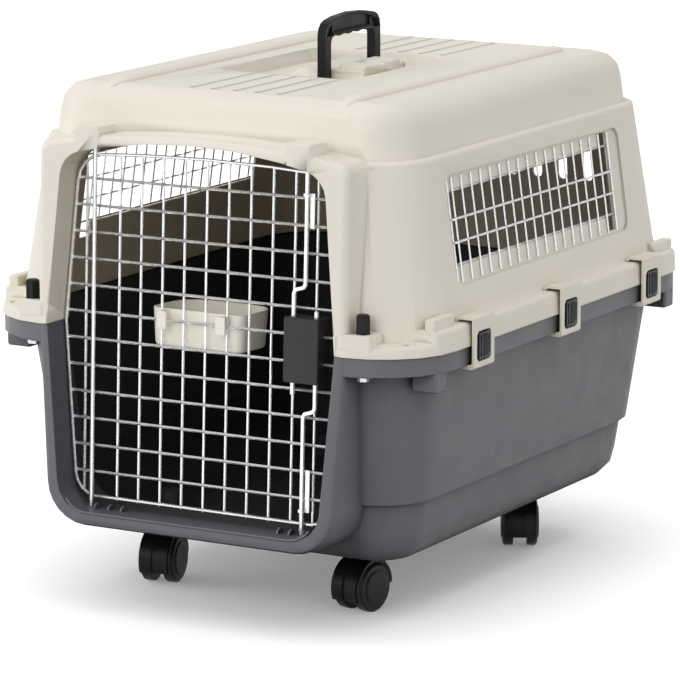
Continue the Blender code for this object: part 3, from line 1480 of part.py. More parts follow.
def wing_knob(sign_x, sign_y, name):
    """A lobed knob with its bolt, and the nut under the wing."""
    frame = Matrix.Translation((sign_x * KNOB_X, sign_y * KNOB_Y, 0))
    axis = joint_empty("knob_axis_" + name, frame)
    low = WING_Z + PAD_RISE + TOUCH
    foot = RIM_Z - PAD_DROP - NUT_HEIGHT - BOLT_END
    lobes, circle = [], []
    for step in range(KNOB_LOBES * 3):
        angle = 2 * math.pi * step / (KNOB_LOBES * 3)
        radius = KNOB_RADIUS + KNOB_LOBE * math.cos(KNOB_LOBES * angle)
        lobes.append((radius * math.cos(angle), radius * math.sin(angle)))
        circle.append((BOLT_RADIUS * math.cos(angle), BOLT_RADIUS * math.sin(angle)))
    rings = [[(x, y, foot) for x, y in circle], [(x, y, low) for x, y in circle]]
    rings += [[(x, y, low) for x, y in lobes], [(x, y, low + KNOB_HEIGHT - KNOB_ROUND) for x, y in lobes]]
    rings.append([(x * 0.88, y * 0.88, low + KNOB_HEIGHT - KNOB_ROUND * 0.3) for x, y in lobes])
    rings.append([(x * 0.55, y * 0.55, low + KNOB_HEIGHT) for x, y in lobes])
    piece("wing_knob_" + name, loft(rings), "fitting_black", frame, axis)
    top = RIM_Z - PAD_DROP - TOUCH
    nut = piece("wing_nut_" + name, cylinder(NUT_RADIUS, top - NUT_HEIGHT, top, 6), "steel_zinc", frame)
    hole = cylinder(bore(BOLT_RADIUS + SLIDE, 12), top - NUT_HEIGHT - 0.01, top + 0.01, 12)
    cut(nut, tool("nut_hole_" + name, hole, frame))


# Casters


def caster_places():
    places = {}
    for name in CASTER_ANGLES:
        sign_y = -1 if name.startswith("front") else 1
        sign_x = -1 if name.endswith("left") else 1
        places[name] = (sign_x * CASTER_X, sign_y * CASTER_Y)
    return places


def hood_web():
    """The flat middle of the hood, round over the axle and up under its neck: y along, z up."""
    centre_y, centre_z = -CASTER_TRAIL, WHEEL_RADIUS
    radius = WHEEL_RADIUS + WHEEL_GAP + HOOD_WALL * 0.6
    points = []
    for step in range(7):
        angle = math.radians(205 - 135 * step / 6)
        points.append((centre_y + radius * math.cos(angle), centre_z + radius * math.sin(angle)))
    shoulder_z = centre_z + WHEEL_RADIUS + WHEEL_GAP + HOOD_WALL
    front_y = HOOD_NECK_RADIUS - 0.001
    points += [(-HOOD_NECK_RADIUS, shoulder_z), (front_y, shoulder_z), (front_y, STEM_FOOT_Z - 0.003)]
    points += [(-0.002, 0.014)]
    half = WEB_HALF_WIDTH
    return turned(plate([points], -half, half), Matrix.Rotation(math.pi / 2, 4, "Z"))


def hood_fender():
    """The curved guard over both treads."""
    inner = WHEEL_RADIUS + WHEEL_GAP
    outer = inner + HOOD_WALL
    points = []
    for radius, order in ((outer, 1), (inner, -1)):
        for step in range(10)[::order]:
            angle = math.radians(205 - 205 * step / 9)
            y = -CASTER_TRAIL + radius * math.cos(angle)
            points.append((y, WHEEL_RADIUS + radius * math.sin(angle)))
    half = HOOD_HALF_WIDTH
    return turned(plate([points], -half, half), Matrix.Rotation(math.pi / 2, 4, "Z"))


def wheel_mesh():
    """A solid wheel turned about X, bored from its inner face."""
    inner, outer = WHEEL_INNER_X, WHEEL_INNER_X + WHEEL_WIDTH
    edge = WHEEL_ROUND
    hole = bore(AXLE_RADIUS + TOUCH, WHEEL_SIDES)
    profile = [
        (outer + WHEEL_CROWN, 0.0),
        (outer, WHEEL_RADIUS - edge),
        (outer - edge * 0.8, WHEEL_RADIUS),
        (inner, WHEEL_RADIUS),
        (inner, hole),
        (outer - 0.003, hole),
        (outer - 0.003, 0.0),
    ]
    bm = bmesh.new()
    corners = [bm.verts.new((x, 0, radius)) for x, radius in profile]
    for here, after in zip(corners, corners[1:]):
        bm.edges.new((here, after))
    outline = bm.verts[:] + bm.edges[:]
    around = 2 * math.pi
    bmesh.ops.spin(bm, geom=outline, cent=(0, 0, 0), axis=(1, 0, 0), angle=around, steps=WHEEL_SIDES)
    bmesh.ops.remove_doubles(bm, verts=bm.verts, dist=0.00001)
    return mesh_from(bm, "wheel")


def caster(name, place_xy):
    """A twin-wheel caster: hood on its stem, two wheels on one axle."""
    turn = Matrix.Rotation(math.radians(CASTER_ANGLES[name]), 4, "Z")
    frame = Matrix.Translation((*place_xy, 0)) @ turn
    swivel = joint_empty("swivel_axis_" + name, frame)
    hood = piece("caster_hood_" + name, hood_web(), "fitting_black", frame, swivel)
    add(hood, tool("hood_fender_" + name, hood_fender(), frame))
    neck_low = 2 * WHEEL_RADIUS + WHEEL_GAP - 0.001
    neck = cylinder(HOOD_NECK_RADIUS, neck_low, CASTER_HEIGHT - HOOD_TOP_GAP, 12)
    add(hood, tool("hood_neck_" + name, neck, frame))
    axle_frame = frame @ Matrix.Translation((0, -CASTER_TRAIL, WHEEL_RADIUS))
    along = Matrix.Rotation(math.pi / 2, 4, "Y")
    axle_hole = turned(cylinder(bore(AXLE_RADIUS + SLIDE, 12), -0.02, 0.02, 12), along)
    cut(hood, tool("hood_axle_hole_" + name, axle_hole, axle_frame))
    stem_hole = cylinder(bore(STEM_RADIUS + TOUCH, 12), STEM_FOOT_Z - TOUCH, CASTER_HEIGHT + 0.01, 12)
    cut(hood, tool("hood_stem_hole_" + name, stem_hole, frame))
    stem = cylinder(STEM_RADIUS, STEM_FOOT_Z, CASTER_HEIGHT + STEM_INSERTION - 0.0006, 12)
    piece("caster_stem_" + name, stem, "steel_zinc", frame, swivel)
    roll = joint_empty("axle_axis_" + name, axle_frame, swivel)
    reach = WHEEL_INNER_X + WHEEL_WIDTH - 0.003 - TOUCH
    axle = turned(cylinder(AXLE_RADIUS, -reach, reach, 12), along)
    piece("caster_axle_" + name, axle, "steel_zinc", axle_frame, roll)
    for sign, hand in ((-1, "left"), (1, "right")):
        facing = Matrix.Rotation(0 if sign > 0 else math.pi, 4, "Z")
        piece(f"caster_wheel_{name}_{hand}", wheel_mesh(), "fitting_black", axle_frame @ facing, roll)


# The whole crate


def door_assembly():
    hinge = joint_empty("door_axis", DOOR @ Matrix.Translation((HINGE_U, ROD_V, 0)))
    door_grille(hinge)
    hinge_rod(hinge)
    latch_housing(hinge)
    latch_spring(hinge)
    upper_bolt(joint_empty("upper_bolt_axis", DOOR @ Matrix.Translation((BOLT_U, ROD_V, 0)), hinge))
    lower_bolt(joint_empty("lower_bolt_axis", DOOR @ Matrix.Translation((BOLT_U, ROD_V, 0)), hinge))
    low_row = ROW_OFFSET + FIRST_ROW * ROW
    high_row = ROW_OFFSET + LAST_ROW * ROW
    rod_guide("rod_guide_upper", (high_row - ROW, high_row), high_row + UPPER_RING_RISE, hinge)
    rod_guide("rod_guide_lower", (low_row, low_row + ROW), low_row - LOWER_RING_DROP, hinge)
    bowl(joint_empty("bowl_axis", DOOR @ Matrix.Translation((0, 0, ROW_OFFSET)), hinge))


def build():
    upper_shell()
    lower_tub()
    window_grille(1, "right")
    window_grille(-1, "left")
    door_assembly()
    handle()
    for side, hand in ((1, "right"), (-1, "left")):
        for y, place_name in zip(LATCH_PLACES, ("front", "middle", "rear")):
            rim_latch(side, y, place_name + "_" + hand)
    for sign_x, hand in ((1, "right"), (-1, "left")):
        for sign_y, place_name in ((-1, "front"), (1, "rear")):
            wing_knob(sign_x, sign_y, place_name + "_" + hand)
    for name, place_xy in caster_places().items():
        caster(name, place_xy)


build()
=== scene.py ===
import json
import math

import bmesh
import bpy
from mathutils import Matrix, Vector


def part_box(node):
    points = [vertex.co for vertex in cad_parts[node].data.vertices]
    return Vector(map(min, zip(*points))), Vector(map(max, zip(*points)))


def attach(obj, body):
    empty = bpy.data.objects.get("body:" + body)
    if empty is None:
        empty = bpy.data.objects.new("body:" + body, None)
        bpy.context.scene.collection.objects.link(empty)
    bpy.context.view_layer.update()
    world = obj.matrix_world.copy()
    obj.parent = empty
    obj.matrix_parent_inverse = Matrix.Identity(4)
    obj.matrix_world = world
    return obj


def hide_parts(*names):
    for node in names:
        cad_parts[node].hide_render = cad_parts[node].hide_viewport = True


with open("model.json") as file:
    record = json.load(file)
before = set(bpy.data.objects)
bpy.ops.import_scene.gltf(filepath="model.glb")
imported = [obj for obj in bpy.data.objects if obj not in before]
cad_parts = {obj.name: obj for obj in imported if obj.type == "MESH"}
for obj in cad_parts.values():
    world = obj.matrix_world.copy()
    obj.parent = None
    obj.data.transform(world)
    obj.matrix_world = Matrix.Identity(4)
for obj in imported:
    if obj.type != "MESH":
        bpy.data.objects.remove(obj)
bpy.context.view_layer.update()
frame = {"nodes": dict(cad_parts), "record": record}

# Sizes shared with the solids: metres, leans and tapers as slopes, angles in degrees
RIM_Z = 0.2860
DOOR_Y = -0.2830
DOOR_LEAN = 0.0410
SIDE_LEAN = 0.1415
WALL_FOOT_X = 0.2360
LEDGE_Z = 0.3095
ROOF_Z = 0.5195
DOME_FLAT_Y = 0.2318
DOME_ROUND = 0.0280
RAIL_X = 0.1340
HANDLE_X = 0.0013
HANDLE_PIVOT_Z = 0.5145
HANDLE_THICKNESS = 0.0095
CASTER_ANGLES = {"front_left": 11.4, "front_right": -7.4, "rear_left": -24.0, "rear_right": 29.5}
CASTER_X = 0.1200
CASTER_Y = 0.1570
CASTER_TRAIL = 0.0220
WHEEL_RADIUS = 0.0250
WHEEL_FACE = 0.0190
HOOD_RADIUS = 0.0281
HOOD_HALF = 0.0165
OPENING_HALF = 0.1640
OPENING_TAPER = 0.0875
OPENING_BELOW = 0.1855
COLLAR_FRONT = 0.0325
DOOR_WIRE_RADIUS = 0.00145
WINDOW_WIRE_RADIUS = 0.00115
WINDOW_ROWS = (0.0735, 0.0961)

# Sizes of the finer shapes: metres, and for the casters degrees about the axle
CUT_CLEARANCE = 0.00003
RAIL_CUT_HALF = 0.0135
RAIL_CUT_TOP = 0.0200
RAIL_CUT_FRONT = 0.0450
RAIL_CUT_REAR = 0.0100
RAIL_CUT_FOOT = 0.0004
RAIL_HALF = 0.0101
RAIL_HEIGHT = 0.0055
RAIL_FRONT_Y = -0.2470
RAIL_REAR_Y = 0.2160
RAIL_FRONT_TAPER = 0.030
RAIL_REAR_TAPER = 0.016
RAIL_TIP_SHARE = 0.30
RAIL_SINK = 0.0018
RAIL_OVERLAP = 0.0002
HANDLE_WEB = 0.0018
GRIP_POCKET_HALF = 0.0375
GRIP_POCKET_LOW = 0.0432
GRIP_POCKET_HIGH = 0.0562
GRIP_POCKET_SAG = 0.0040
CORNER_POCKET_START = 0.0406
CORNER_POCKET_Y = 0.0420
CORNER_POCKET_Z = 0.0381
CORNER_POCKET_RADIUS = 0.0124
CORNER_POCKET_FOOT = 0.0015
BUTTON_PLATE = ((-0.0059, -0.0151, -0.0156), (-0.0054, 0.0151, 0.0156))
BUTTON_STEM = ((-0.0056, -0.0090, -0.0120), (-0.0015, 0.0120, 0.0120))
BUTTON_FACE = ((-0.0018, -0.0108, -0.0134), (-0.0004, 0.0132, 0.0134))
BUTTON_POCKET_Y = -0.0070
BUTTON_POCKET_REACH = 0.0105
BUTTON_POCKET_HALF = 0.0016
BUTTON_POCKET_WAIST = 0.0006
BUTTON_POCKET_FLOOR = -0.0014
BUTTON_RIDGES = (0.0112, 0.0112, 0.0104, 0.0088)
BUTTON_RIDGE_START = 0.0004
BUTTON_RIDGE_PITCH = 0.0031
BUTTON_RIDGE_HALF = 0.0010
BUTTON_RIDGE_SINK = -0.0010
BUTTON_RIDGE_TOP = 0.0005
PEDAL_ARC = (150, 203)
PEDAL_PADS = ((-0.0150, -0.0030), (0.0035, 0.0140))
PEDAL_SINK = 0.0006
PEDAL_RISE = 0.0013
PEDAL_RIB_SPAN = (-0.0138, -0.0042)
PEDAL_RIB_START = 172
PEDAL_RIB_PITCH = 6
PEDAL_RIB_WIDTH = 2.4
PEDAL_RIB_SINK = 0.0003
PEDAL_RIB_RISE = 0.0008
PEDAL_RIBS = 5
LIP_ARC = (2, 204)
LIP_INSIDE = 0.0012
LIP_OUTSIDE = 0.0003
LIP_RISE = 0.0006
DISC_PROFILE = ((-0.0020, 0.0174), (0.0001, 0.0174), (0.0007, 0.0166), (0.0010, 0.0150))
BEAD_RADIUS = 0.0013
BEAD_BEND = 0.0300
BEAD_OUTSIDE = 0.0006
BEAD_SINK = 0.0002
BEAD_TURN_SHARE = 0.55
DOOR_WIRE_FOOT = -0.1770
DOOR_WIRE_TOP = 0.1733
WINDOW_EDGE_X = -0.0027
WINDOW_EDGE_Y = -0.1885
WINDOW_EDGE_FOOT = 0.0345
WINDOW_EDGE_TOP = 0.1360
WINDOW_TIE_RISE = 0.0016
WINDOW_TIE_START = 0.0015
WINDOW_TIE_END_Y = -0.1795

# Shading: metres, angles in degrees, and how open a place in a hollow or on the outside is, which sets the
# painted shade in hollows
WELD = 0.00002
SMOOTH_LIMIT = 33
SHARP_LIMIT = 34
PAINTED_SHADE_REACH = 0.80
PAINTED_SHADE_FULL_BELOW = 0.10
PAINTED_SHADE_NONE_ABOVE = 0.45
WORLD_BELOW = 0.50
WORLD_ABOVE = 0.62

# Colours
CREAM = (0.800, 0.757, 0.660)
TUB = (0.132, 0.136, 0.148)
BLACK = (0.007, 0.007, 0.008)
HOUSING = (0.026, 0.026, 0.027)
CLIP = (0.012, 0.014, 0.017)
# Bowl: a lighter copy of the cream, painted light that brightens the bowl where it sits in the door's shade
BOWL_LIT_CREAM = (0.880, 0.840, 0.740)
STEEL = (0.78, 0.79, 0.81)
CHROME = (0.94, 0.95, 0.97)
# Painted shade: the colours that the cream and grey plastics are painted towards in hollows, corners and the
# tub's inside
CREAM_PAINTED_SHADE = (0.54, 0.46, 0.33)
TUB_PAINTED_SHADE = (0.027, 0.027, 0.031)


# Node helpers


def add_node(tree, kind, **settings):
    """A node with its properties set by name."""
    node = tree.nodes.new(kind)
    for name, value in settings.items():
        setattr(node, name, value)
    return node


def plug(tree, socket, value):
    """Sets an input, or links it where the value is a socket too."""
    if isinstance(value, bpy.types.NodeSocket):
        tree.links.new(value, socket)
    else:
        socket.default_value = value


def feed(tree, node, **values):
    """Sets or links inputs by name, with underscores for spaces."""
    for name, value in values.items():
        plug(tree, node.inputs[name.replace("_", " ")], value)
    return node


def blank_material(name):
    """A new material, its node tree and its main shader."""
    material = bpy.data.materials.new(name)
    material.use_nodes = True
    return material, material.node_tree, material.node_tree.nodes["Principled BSDF"]


def coordinates(tree):
    """Places on an object, in its own frame."""
    return add_node(tree, "ShaderNodeTexCoord").outputs["Object"]


def noise(tree, where, scale, detail=2.0, roughness=0.5):
    """A soft random pattern."""
    node = add_node(tree, "ShaderNodeTexNoise")
    feed(tree, node, Vector=where, Scale=scale, Detail=detail, Roughness=roughness)
    return node.outputs["Fac"]


def ranged(tree, value, low, high, from_low=0.3, from_high=0.7):
    """The value mapped to a range, held at both ends."""
    node = add_node(tree, "ShaderNodeMapRange")
    feed(tree, node, Value=value, From_Min=from_low, From_Max=from_high, To_Min=low, To_Max=high)
    return node.outputs["Result"]


def mixed(tree, value, first, second):
    """A colour from the first to the second, as the value goes from 0 to 1."""
    node = add_node(tree, "ShaderNodeMix", data_type="RGBA")
    plug(tree, node.inputs[0], value)
    plug(tree, node.inputs[6], first)
    plug(tree, node.inputs[7], second)
    return node.outputs[2]


def shade(colour, factor=1.0):
    """A colour with its alpha, made darker or lighter by a factor."""
    return (*[channel * factor for channel in colour], 1.0)


def painted_shade_openness(tree):
    """How open a place is, for the painted shade: 0 in closed hollows, which get the full painted shade, and
    1 where a surface lies open and gets none.
    """
    painted_shade_occlusion = add_node(tree, "ShaderNodeAmbientOcclusion", samples=4)
    feed(tree, painted_shade_occlusion, Distance=PAINTED_SHADE_REACH)
    return ranged(tree, painted_shade_occlusion.outputs["AO"], 0.0, 1.0, PAINTED_SHADE_FULL_BELOW, PAINTED_SHADE_NONE_ABOVE)


def bumped(tree, height, strength, distance, edge):
    """A bump over edges that the shader rounds off."""
    bevel = feed(tree, add_node(tree, "ShaderNodeBevel", samples=4), Radius=edge)
    bump = add_node(tree, "ShaderNodeBump")
    feed(tree, bump, Height=height, Strength=strength, Distance=distance, Normal=bevel.outputs["Normal"])
    return bump.outputs["Normal"]


# Materials


def moulded_plastic(name, colour, roughness, grain, edge=0.0009, wear=0.04, specular=0.5, painted_shade=None):
    """Moulded plastic: a fine grain, a faint cloudy tone, scuffs in its gloss, and, when given a shade
    colour, painted shade and weaker reflections in hollows.
    """
    material, tree, shader = blank_material(name)
    where = coordinates(tree)
    clouds = ranged(tree, noise(tree, where, 9.0, 3.0), 0.0, 1.0)
    base = mixed(tree, clouds, shade(colour, 1.0 - wear), shade(colour, 1.0 + wear))
    shine = specular
    # Painted shade: in hollows and corners the colour is painted towards the shade colour, and the
    # reflections are weakened, by ambient occlusion
    if painted_shade:
        painted_openness = painted_shade_openness(tree)
        base = mixed(tree, painted_openness, shade(painted_shade), base)
        shine = ranged(tree, painted_openness, 0.0, specular, 0.0, 1.0)
    scuffs = ranged(tree, noise(tree, where, 42.0, 6.0, 0.65), roughness - 0.06, roughness + 0.07)
    fine = noise(tree, where, 1400.0)
    feed(tree, shader, Base_Color=base, Roughness=scuffs, Specular_IOR_Level=shine)
    feed(tree, shader, Normal=bumped(tree, fine, grain, 0.00025, edge))
    return material


def plated_wire():
    """Bright plating with a faint draw grain and duller patches."""
    material, tree, shader = blank_material("wire_chrome_look")
    where = coordinates(tree)
    clouds = ranged(tree, noise(tree, where, 60.0, 3.0), 0.0, 1.0)
    base = mixed(tree, clouds, shade(CHROME, 0.93), shade(CHROME))
    rough = ranged(tree, noise(tree, where, 220.0, 4.0), 0.20, 0.34)
    fine = noise(tree, where, 900.0)
    feed(tree, shader, Base_Color=base, Roughness=rough, Metallic=0.85)
    feed(tree, shader, Normal=bumped(tree, fine, 0.05, 0.0002, 0.0003))
    return material


def zinc_steel():
    """Dull bright steel for the nuts."""
    material, tree, shader = blank_material("steel_zinc_look")
    where = coordinates(tree)
    clouds = ranged(tree, noise(tree, where, 120.0, 3.0), 0.0, 1.0)
    base = mixed(tree, clouds, shade(STEEL, 0.75), shade(STEEL, 0.95))
    rough = ranged(tree, noise(tree, where, 300.0, 4.0), 0.28, 0.45)
    fine = noise(tree, where, 1100.0)
    feed(tree, shader, Base_Color=base, Roughness=rough, Metallic=1.0)
    feed(tree, shader, Normal=bumped(tree, fine, 0.12, 0.0002, 0.0003))
    return material


def floor_material():
    """A white floor that shows only soft shadows."""
    material, tree, shader = blank_material("studio_floor")
    speck = ranged(tree, noise(tree, coordinates(tree), 3.0), 0.88, 0.90)
    base = add_node(tree, "ShaderNodeCombineColor")
    feed(tree, base, Red=speck, Green=speck, Blue=speck)
    feed(tree, shader, Base_Color=base.outputs["Color"], Roughness=0.9, Specular_IOR_Level=0.1)
    feed(tree, shader, Emission_Color=(1.0, 1.0, 1.0, 1.0), Emission_Strength=0.18)
    return material


LOOKS = {
    # The cream and the grey get painted shade in their hollows and corners
    "shell_cream": moulded_plastic("shell_cream_look", CREAM, 0.52, 0.10, wear=0.015, painted_shade=CREAM_PAINTED_SHADE),
    "tub_grey": moulded_plastic("tub_grey_look", TUB, 0.50, 0.12, wear=0.03, painted_shade=TUB_PAINTED_SHADE),
    "fitting_black": moulded_plastic(
        "fitting_black_look", BLACK, 0.40, 0.14, edge=0.0007, wear=0.10, specular=0.22),
    "clip_grey": moulded_plastic("clip_grey_look", CLIP, 0.42, 0.12, edge=0.0005, wear=0.06, specular=0.30),
    "wire_chrome": plated_wire(),
    "steel_zinc": zinc_steel(),
}

# Looks of single nodes, in place of their slot's
OTHER_LOOKS = {
    # The bowl's lighter cream is painted light, and the bowl gets no painted shade in its hollows
    "bowl": moulded_plastic("bowl_lit_cream_look", BOWL_LIT_CREAM, 0.50, 0.10, wear=0.015),
    "latch_housing": moulded_plastic(
        "housing_black_look", HOUSING, 0.40, 0.14, edge=0.0007, wear=0.08, specular=0.35),
}

SLOTS = {entry["node"]: entry["material_slot"] for entry in frame["record"]["subparts"]}


# Smooth shading over the solids' facets


def smoothing_nodes(limit):
    """Geometry nodes that join split corners and shade smooth, but not over edges past the limit."""
    group = bpy.data.node_groups.new("smooth_skin", "GeometryNodeTree")
    group.interface.new_socket("Geometry", in_out="INPUT", socket_type="NodeSocketGeometry")
    group.interface.new_socket("Geometry", in_out="OUTPUT", socket_type="NodeSocketGeometry")
    start = group.nodes.new("NodeGroupInput")
    end = group.nodes.new("NodeGroupOutput")
    merge = feed(group, group.nodes.new("GeometryNodeMergeByDistance"), Distance=WELD)
    clear = feed(group, group.nodes.new("GeometryNodeRemoveAttribute"), Name="custom_normal")
    smooth = group.nodes.new("GeometryNodeSetShadeSmooth")
    angle = group.nodes.new("GeometryNodeInputMeshEdgeAngle")
    above = group.nodes.new("FunctionNodeCompare")
    above.inputs[1].default_value = limit
    sharp = group.nodes.new("GeometryNodeSetShadeSmooth")
    sharp.domain = "EDGE"
    sharp.inputs["Shade Smooth"].default_value = False
    steps = [start.outputs[0], merge, clear, smooth, sharp, end]
    source = steps[0]
    for node in steps[1:]:
        group.links.new(source, node.inputs[0])
        source = node.outputs[0] if node.outputs else None
    group.links.new(angle.outputs["Unsigned Angle"], above.inputs[0])
    group.links.new(above.outputs[0], sharp.inputs["Selection"])
    return group


SMOOTH = smoothing_nodes(math.radians(SMOOTH_LIMIT))


def weight_normals(item):
    """Lets the larger faces lead the shading, and keeps sharp edges."""
    weighted = item.modifiers.new("weighted", "WEIGHTED_NORMAL")
    weighted.keep_sharp = True
    weighted.weight = 70


def dress(node):
    """Gives a node of the frame its look and smooth shading."""
    item = frame["nodes"][node]
    for slot in item.material_slots:
        slot.material = OTHER_LOOKS.get(node, LOOKS[SLOTS[node]])
    modifier = item.modifiers.new("smooth_skin", "NODES")
    modifier.node_group = SMOOTH
    weight_normals(item)


# Studio

FLOOR = bpy.data.collections.new("studio_floor")
bpy.context.scene.collection.children.link(FLOOR)


def camera():
    """The camera at the photograph's viewpoint, with its lens."""
    data = bpy.data.cameras.new("camera")
    data.lens = 228.5
    data.sensor_width = 36.0
    data.clip_end = 100.0
    item = bpy.data.objects.new("camera", data)
    right = Vector((0.86886, 0.49506, 0.0))
    up = Vector((-0.09680, 0.16989, 0.98070))
    back = Vector((0.48550, -0.85209, 0.19553))
    turn = Matrix((right, up, back)).transposed().to_4x4()
    item.matrix_world = Matrix.Translation((2.1663, -3.8188, 1.1070)) @ turn
    bpy.context.scene.collection.objects.link(item)
    bpy.context.scene.camera = item


def floor():
    """A wide white floor, in its own collection so that one light can be kept to it."""
    bm = bmesh.new()
    bmesh.ops.create_circle(bm, cap_ends=True, segments=64, radius=40.0)
    mesh = bpy.data.meshes.new("floor")
    bm.to_mesh(mesh)
    bm.free()
    item = bpy.data.objects.new("floor", mesh)
    item.data.materials.append(floor_material())
    item.visible_diffuse = False
    FLOOR.objects.link(item)


def sun_light(name, towards, strength, angle):
    """A soft sun that stands in a direction, with its width in degrees."""
    data = bpy.data.lights.new(name, "SUN")
    data.energy = strength
    data.angle = math.radians(angle)
    item = bpy.data.objects.new(name, data)
    item.matrix_world = Vector(towards).to_track_quat("Z", "Y").to_matrix().to_4x4()
    bpy.context.scene.collection.objects.link(item)
    return item


def studio_world():
    """A pale surround, brighter above than below."""
    world = bpy.data.worlds.new("studio")
    world.use_nodes = True
    tree = world.node_tree
    where = add_node(tree, "ShaderNodeTexCoord").outputs["Generated"]
    height = feed(tree, add_node(tree, "ShaderNodeSeparateXYZ"), Vector=where).outputs["Z"]
    strength = ranged(tree, height, WORLD_BELOW, WORLD_ABOVE, -0.2, 0.3)
    feed(tree, tree.nodes["Background"], Color=(1.0, 1.0, 1.0, 1.0), Strength=strength)
    bpy.context.scene.world = world


def lights():
    """Soft suns in front, left, overhead and front right, one for the floor alone, and the surround."""
    sun_light("front_light", (0.0, -0.90, 0.44), 0.70, 34.0)
    sun_light("left_light", (-0.90, -0.35, 0.30), 0.95, 40.0)
    sun_light("top_light", (0.05, 0.35, 0.93), 0.50, 60.0)
    sun_light("right_light", (0.70, -0.60, 0.40), 0.20, 40.0)
    floor_light = sun_light("floor_light", (0.0, -0.15, 1.0), 1.15, 70.0)
    floor_light.light_linking.receiver_collection = FLOOR
    studio_world()
    bpy.context.scene.view_settings.view_transform = "Standard"


# Meshes


def mesh_from(bm, name):
    """The mesh of a finished shape, its faces turned outwards."""
    bmesh.ops.recalc_face_normals(bm, faces=bm.faces)
    mesh = bpy.data.meshes.new(name)
    bm.to_mesh(mesh)
    bm.free()
    return mesh


def joined(name, meshes, place=Matrix()):
    """Several closed shapes in one mesh, moved to their place."""
    bm = bmesh.new()
    for mesh in meshes:
        bm.from_mesh(mesh)
        bpy.data.meshes.remove(mesh)
    bmesh.ops.transform(bm, matrix=place, verts=bm.verts)
    return mesh_from(bm, name)


def loft(rings):
    """The closed surface through rings with as many points each."""
    bm = bmesh.new()
    rows = [[bm.verts.new(point) for point in ring] for ring in rings]
    for row, other in zip(rows, rows[1:]):
        for here in range(len(row)):
            after = (here + 1) % len(row)
            bm.faces.new((row[here], row[after], other[after], other[here]))
    bm.faces.new(rows[0][::-1])
    bm.faces.new(rows[-1])
    return mesh_from(bm, "loft")


def soft_box(low, high, edge):
    """A box between two corners with rounded edges."""
    low, high = Vector(low), Vector(high)
    bm = bmesh.new()
    bmesh.ops.create_cube(bm, size=1.0, matrix=Matrix.Diagonal((*(high - low), 1.0)))
    bmesh.ops.bevel(bm, geom=bm.edges, offset=edge, segments=2, affect="EDGES", profile=0.5)
    bmesh.ops.translate(bm, verts=bm.verts, vec=(low + high) / 2)
    return mesh_from(bm, "box")


def prism(outline, low, high):
    """An outline in y and z, carried along x."""
    return loft([[(low, y, z) for y, z in outline], [(high, y, z) for y, z in outline]])


def lathe(profile, steps=40):
    """A closed disc about X, through its (x, radius) profile."""
    angles = [2 * math.pi * step / steps for step in range(steps)]
    return loft([[(x, radius * math.cos(a), radius * math.sin(a)) for a in angles] for x, radius in profile])


def tube(path, radius):
    """A round bar along a path."""
    curve = bpy.data.curves.new("tube", "CURVE")
    curve.dimensions = "3D"
    curve.bevel_depth = radius
    curve.bevel_resolution = 3
    curve.use_fill_caps = True
    spline = curve.splines.new("POLY")
    spline.points.add(len(path) - 1)
    for spot, point in zip(spline.points, path):
        spot.co = (*point, 1.0)
    item = bpy.data.objects.new("tube", curve)
    bpy.context.scene.collection.objects.link(item)
    mesh = evaluated_mesh(item)
    bpy.data.objects.remove(item)
    bm = bmesh.new()
    bm.from_mesh(mesh)
    bmesh.ops.remove_doubles(bm, verts=bm.verts, dist=0.00001)
    return mesh_from(bm, "tube")


def evaluated_mesh(item):
    """An object's mesh with its modifiers applied."""
    graph = bpy.context.evaluated_depsgraph_get()
    return bpy.data.meshes.new_from_object(item.evaluated_get(graph))


def cut_away(mesh, cutter_mesh):
    """The mesh less the cutter's shape."""
    target = bpy.data.objects.new("target", mesh)
    cutter = bpy.data.objects.new("cutter", cutter_mesh)
    for item in (target, cutter):
        bpy.context.scene.collection.objects.link(item)
    modifier = target.modifiers.new("cut", "BOOLEAN")
    modifier.object = cutter
    modifier.solver = "EXACT"
    result = evaluated_mesh(target)
    for item in (target, cutter):
        bpy.data.objects.remove(item)
    return result


def copied(node):
    """A welded copy of a node's mesh, to be worked on."""
    bm = bmesh.new()
    bm.from_mesh(frame["nodes"][node].data)
    bmesh.ops.remove_doubles(bm, verts=bm.verts, dist=WELD)
    return mesh_from(bm, node + "_copy")


def add_piece(name, mesh, look, body):
    """A piece with its finish, on the body that it moves with."""
    mesh.name = name
    mesh.materials.clear()
    mesh.materials.append(LOOKS[look])
    mesh.shade_smooth()
    mesh.set_sharp_from_angle(angle=math.radians(SHARP_LIMIT))
    item = bpy.data.objects.new(name, mesh)
    bpy.context.scene.collection.objects.link(item)
    weight_normals(item)
    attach(item, body)
    return item


# Roof


def shell_skin():
    """The upper shell less its blunt rails, cut off along the roof and its rounded front."""
    spring = ROOF_Z - DOME_ROUND
    radius = DOME_ROUND + CUT_CLEARANCE
    above = ROOF_Z + RAIL_CUT_TOP
    front = -DOME_FLAT_Y - RAIL_CUT_FRONT
    rear = RAIL_REAR_Y + RAIL_CUT_REAR
    outline = [(front, above), (front, spring + RAIL_CUT_FOOT)]
    for step in range(4):
        angle = math.pi * step / 6
        z = spring + RAIL_CUT_FOOT * (step == 0) + radius * math.sin(angle)
        outline.append((-(DOME_FLAT_Y + radius * math.cos(angle)), z))
    outline += [(rear, ROOF_Z + CUT_CLEARANCE), (rear, above)]
    cutters = []
    for sign in (-1, 1):
        low, high = sorted((sign * (RAIL_X - RAIL_CUT_HALF), sign * (RAIL_X + RAIL_CUT_HALF)))
        cutters.append(prism(outline, low, high))
    mesh = cut_away(copied("upper_shell"), joined("rail_cutters", cutters))
    item = add_piece("upper_shell_skin", mesh, "shell_cream", "shell")
    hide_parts("upper_shell")


def ease(value):
    """A smooth rise from 0 to 1."""
    value = min(max(value, 0.0), 1.0)
    return value * value * (3 - 2 * value)


def roof_height(y):
    """Height of the roof's skin at a place along it, over the flat and down the rounded end."""
    past = min(max(abs(y) - DOME_FLAT_Y, 0.0), DOME_ROUND)
    return ROOF_Z - DOME_ROUND + math.sqrt(DOME_ROUND ** 2 - past ** 2)


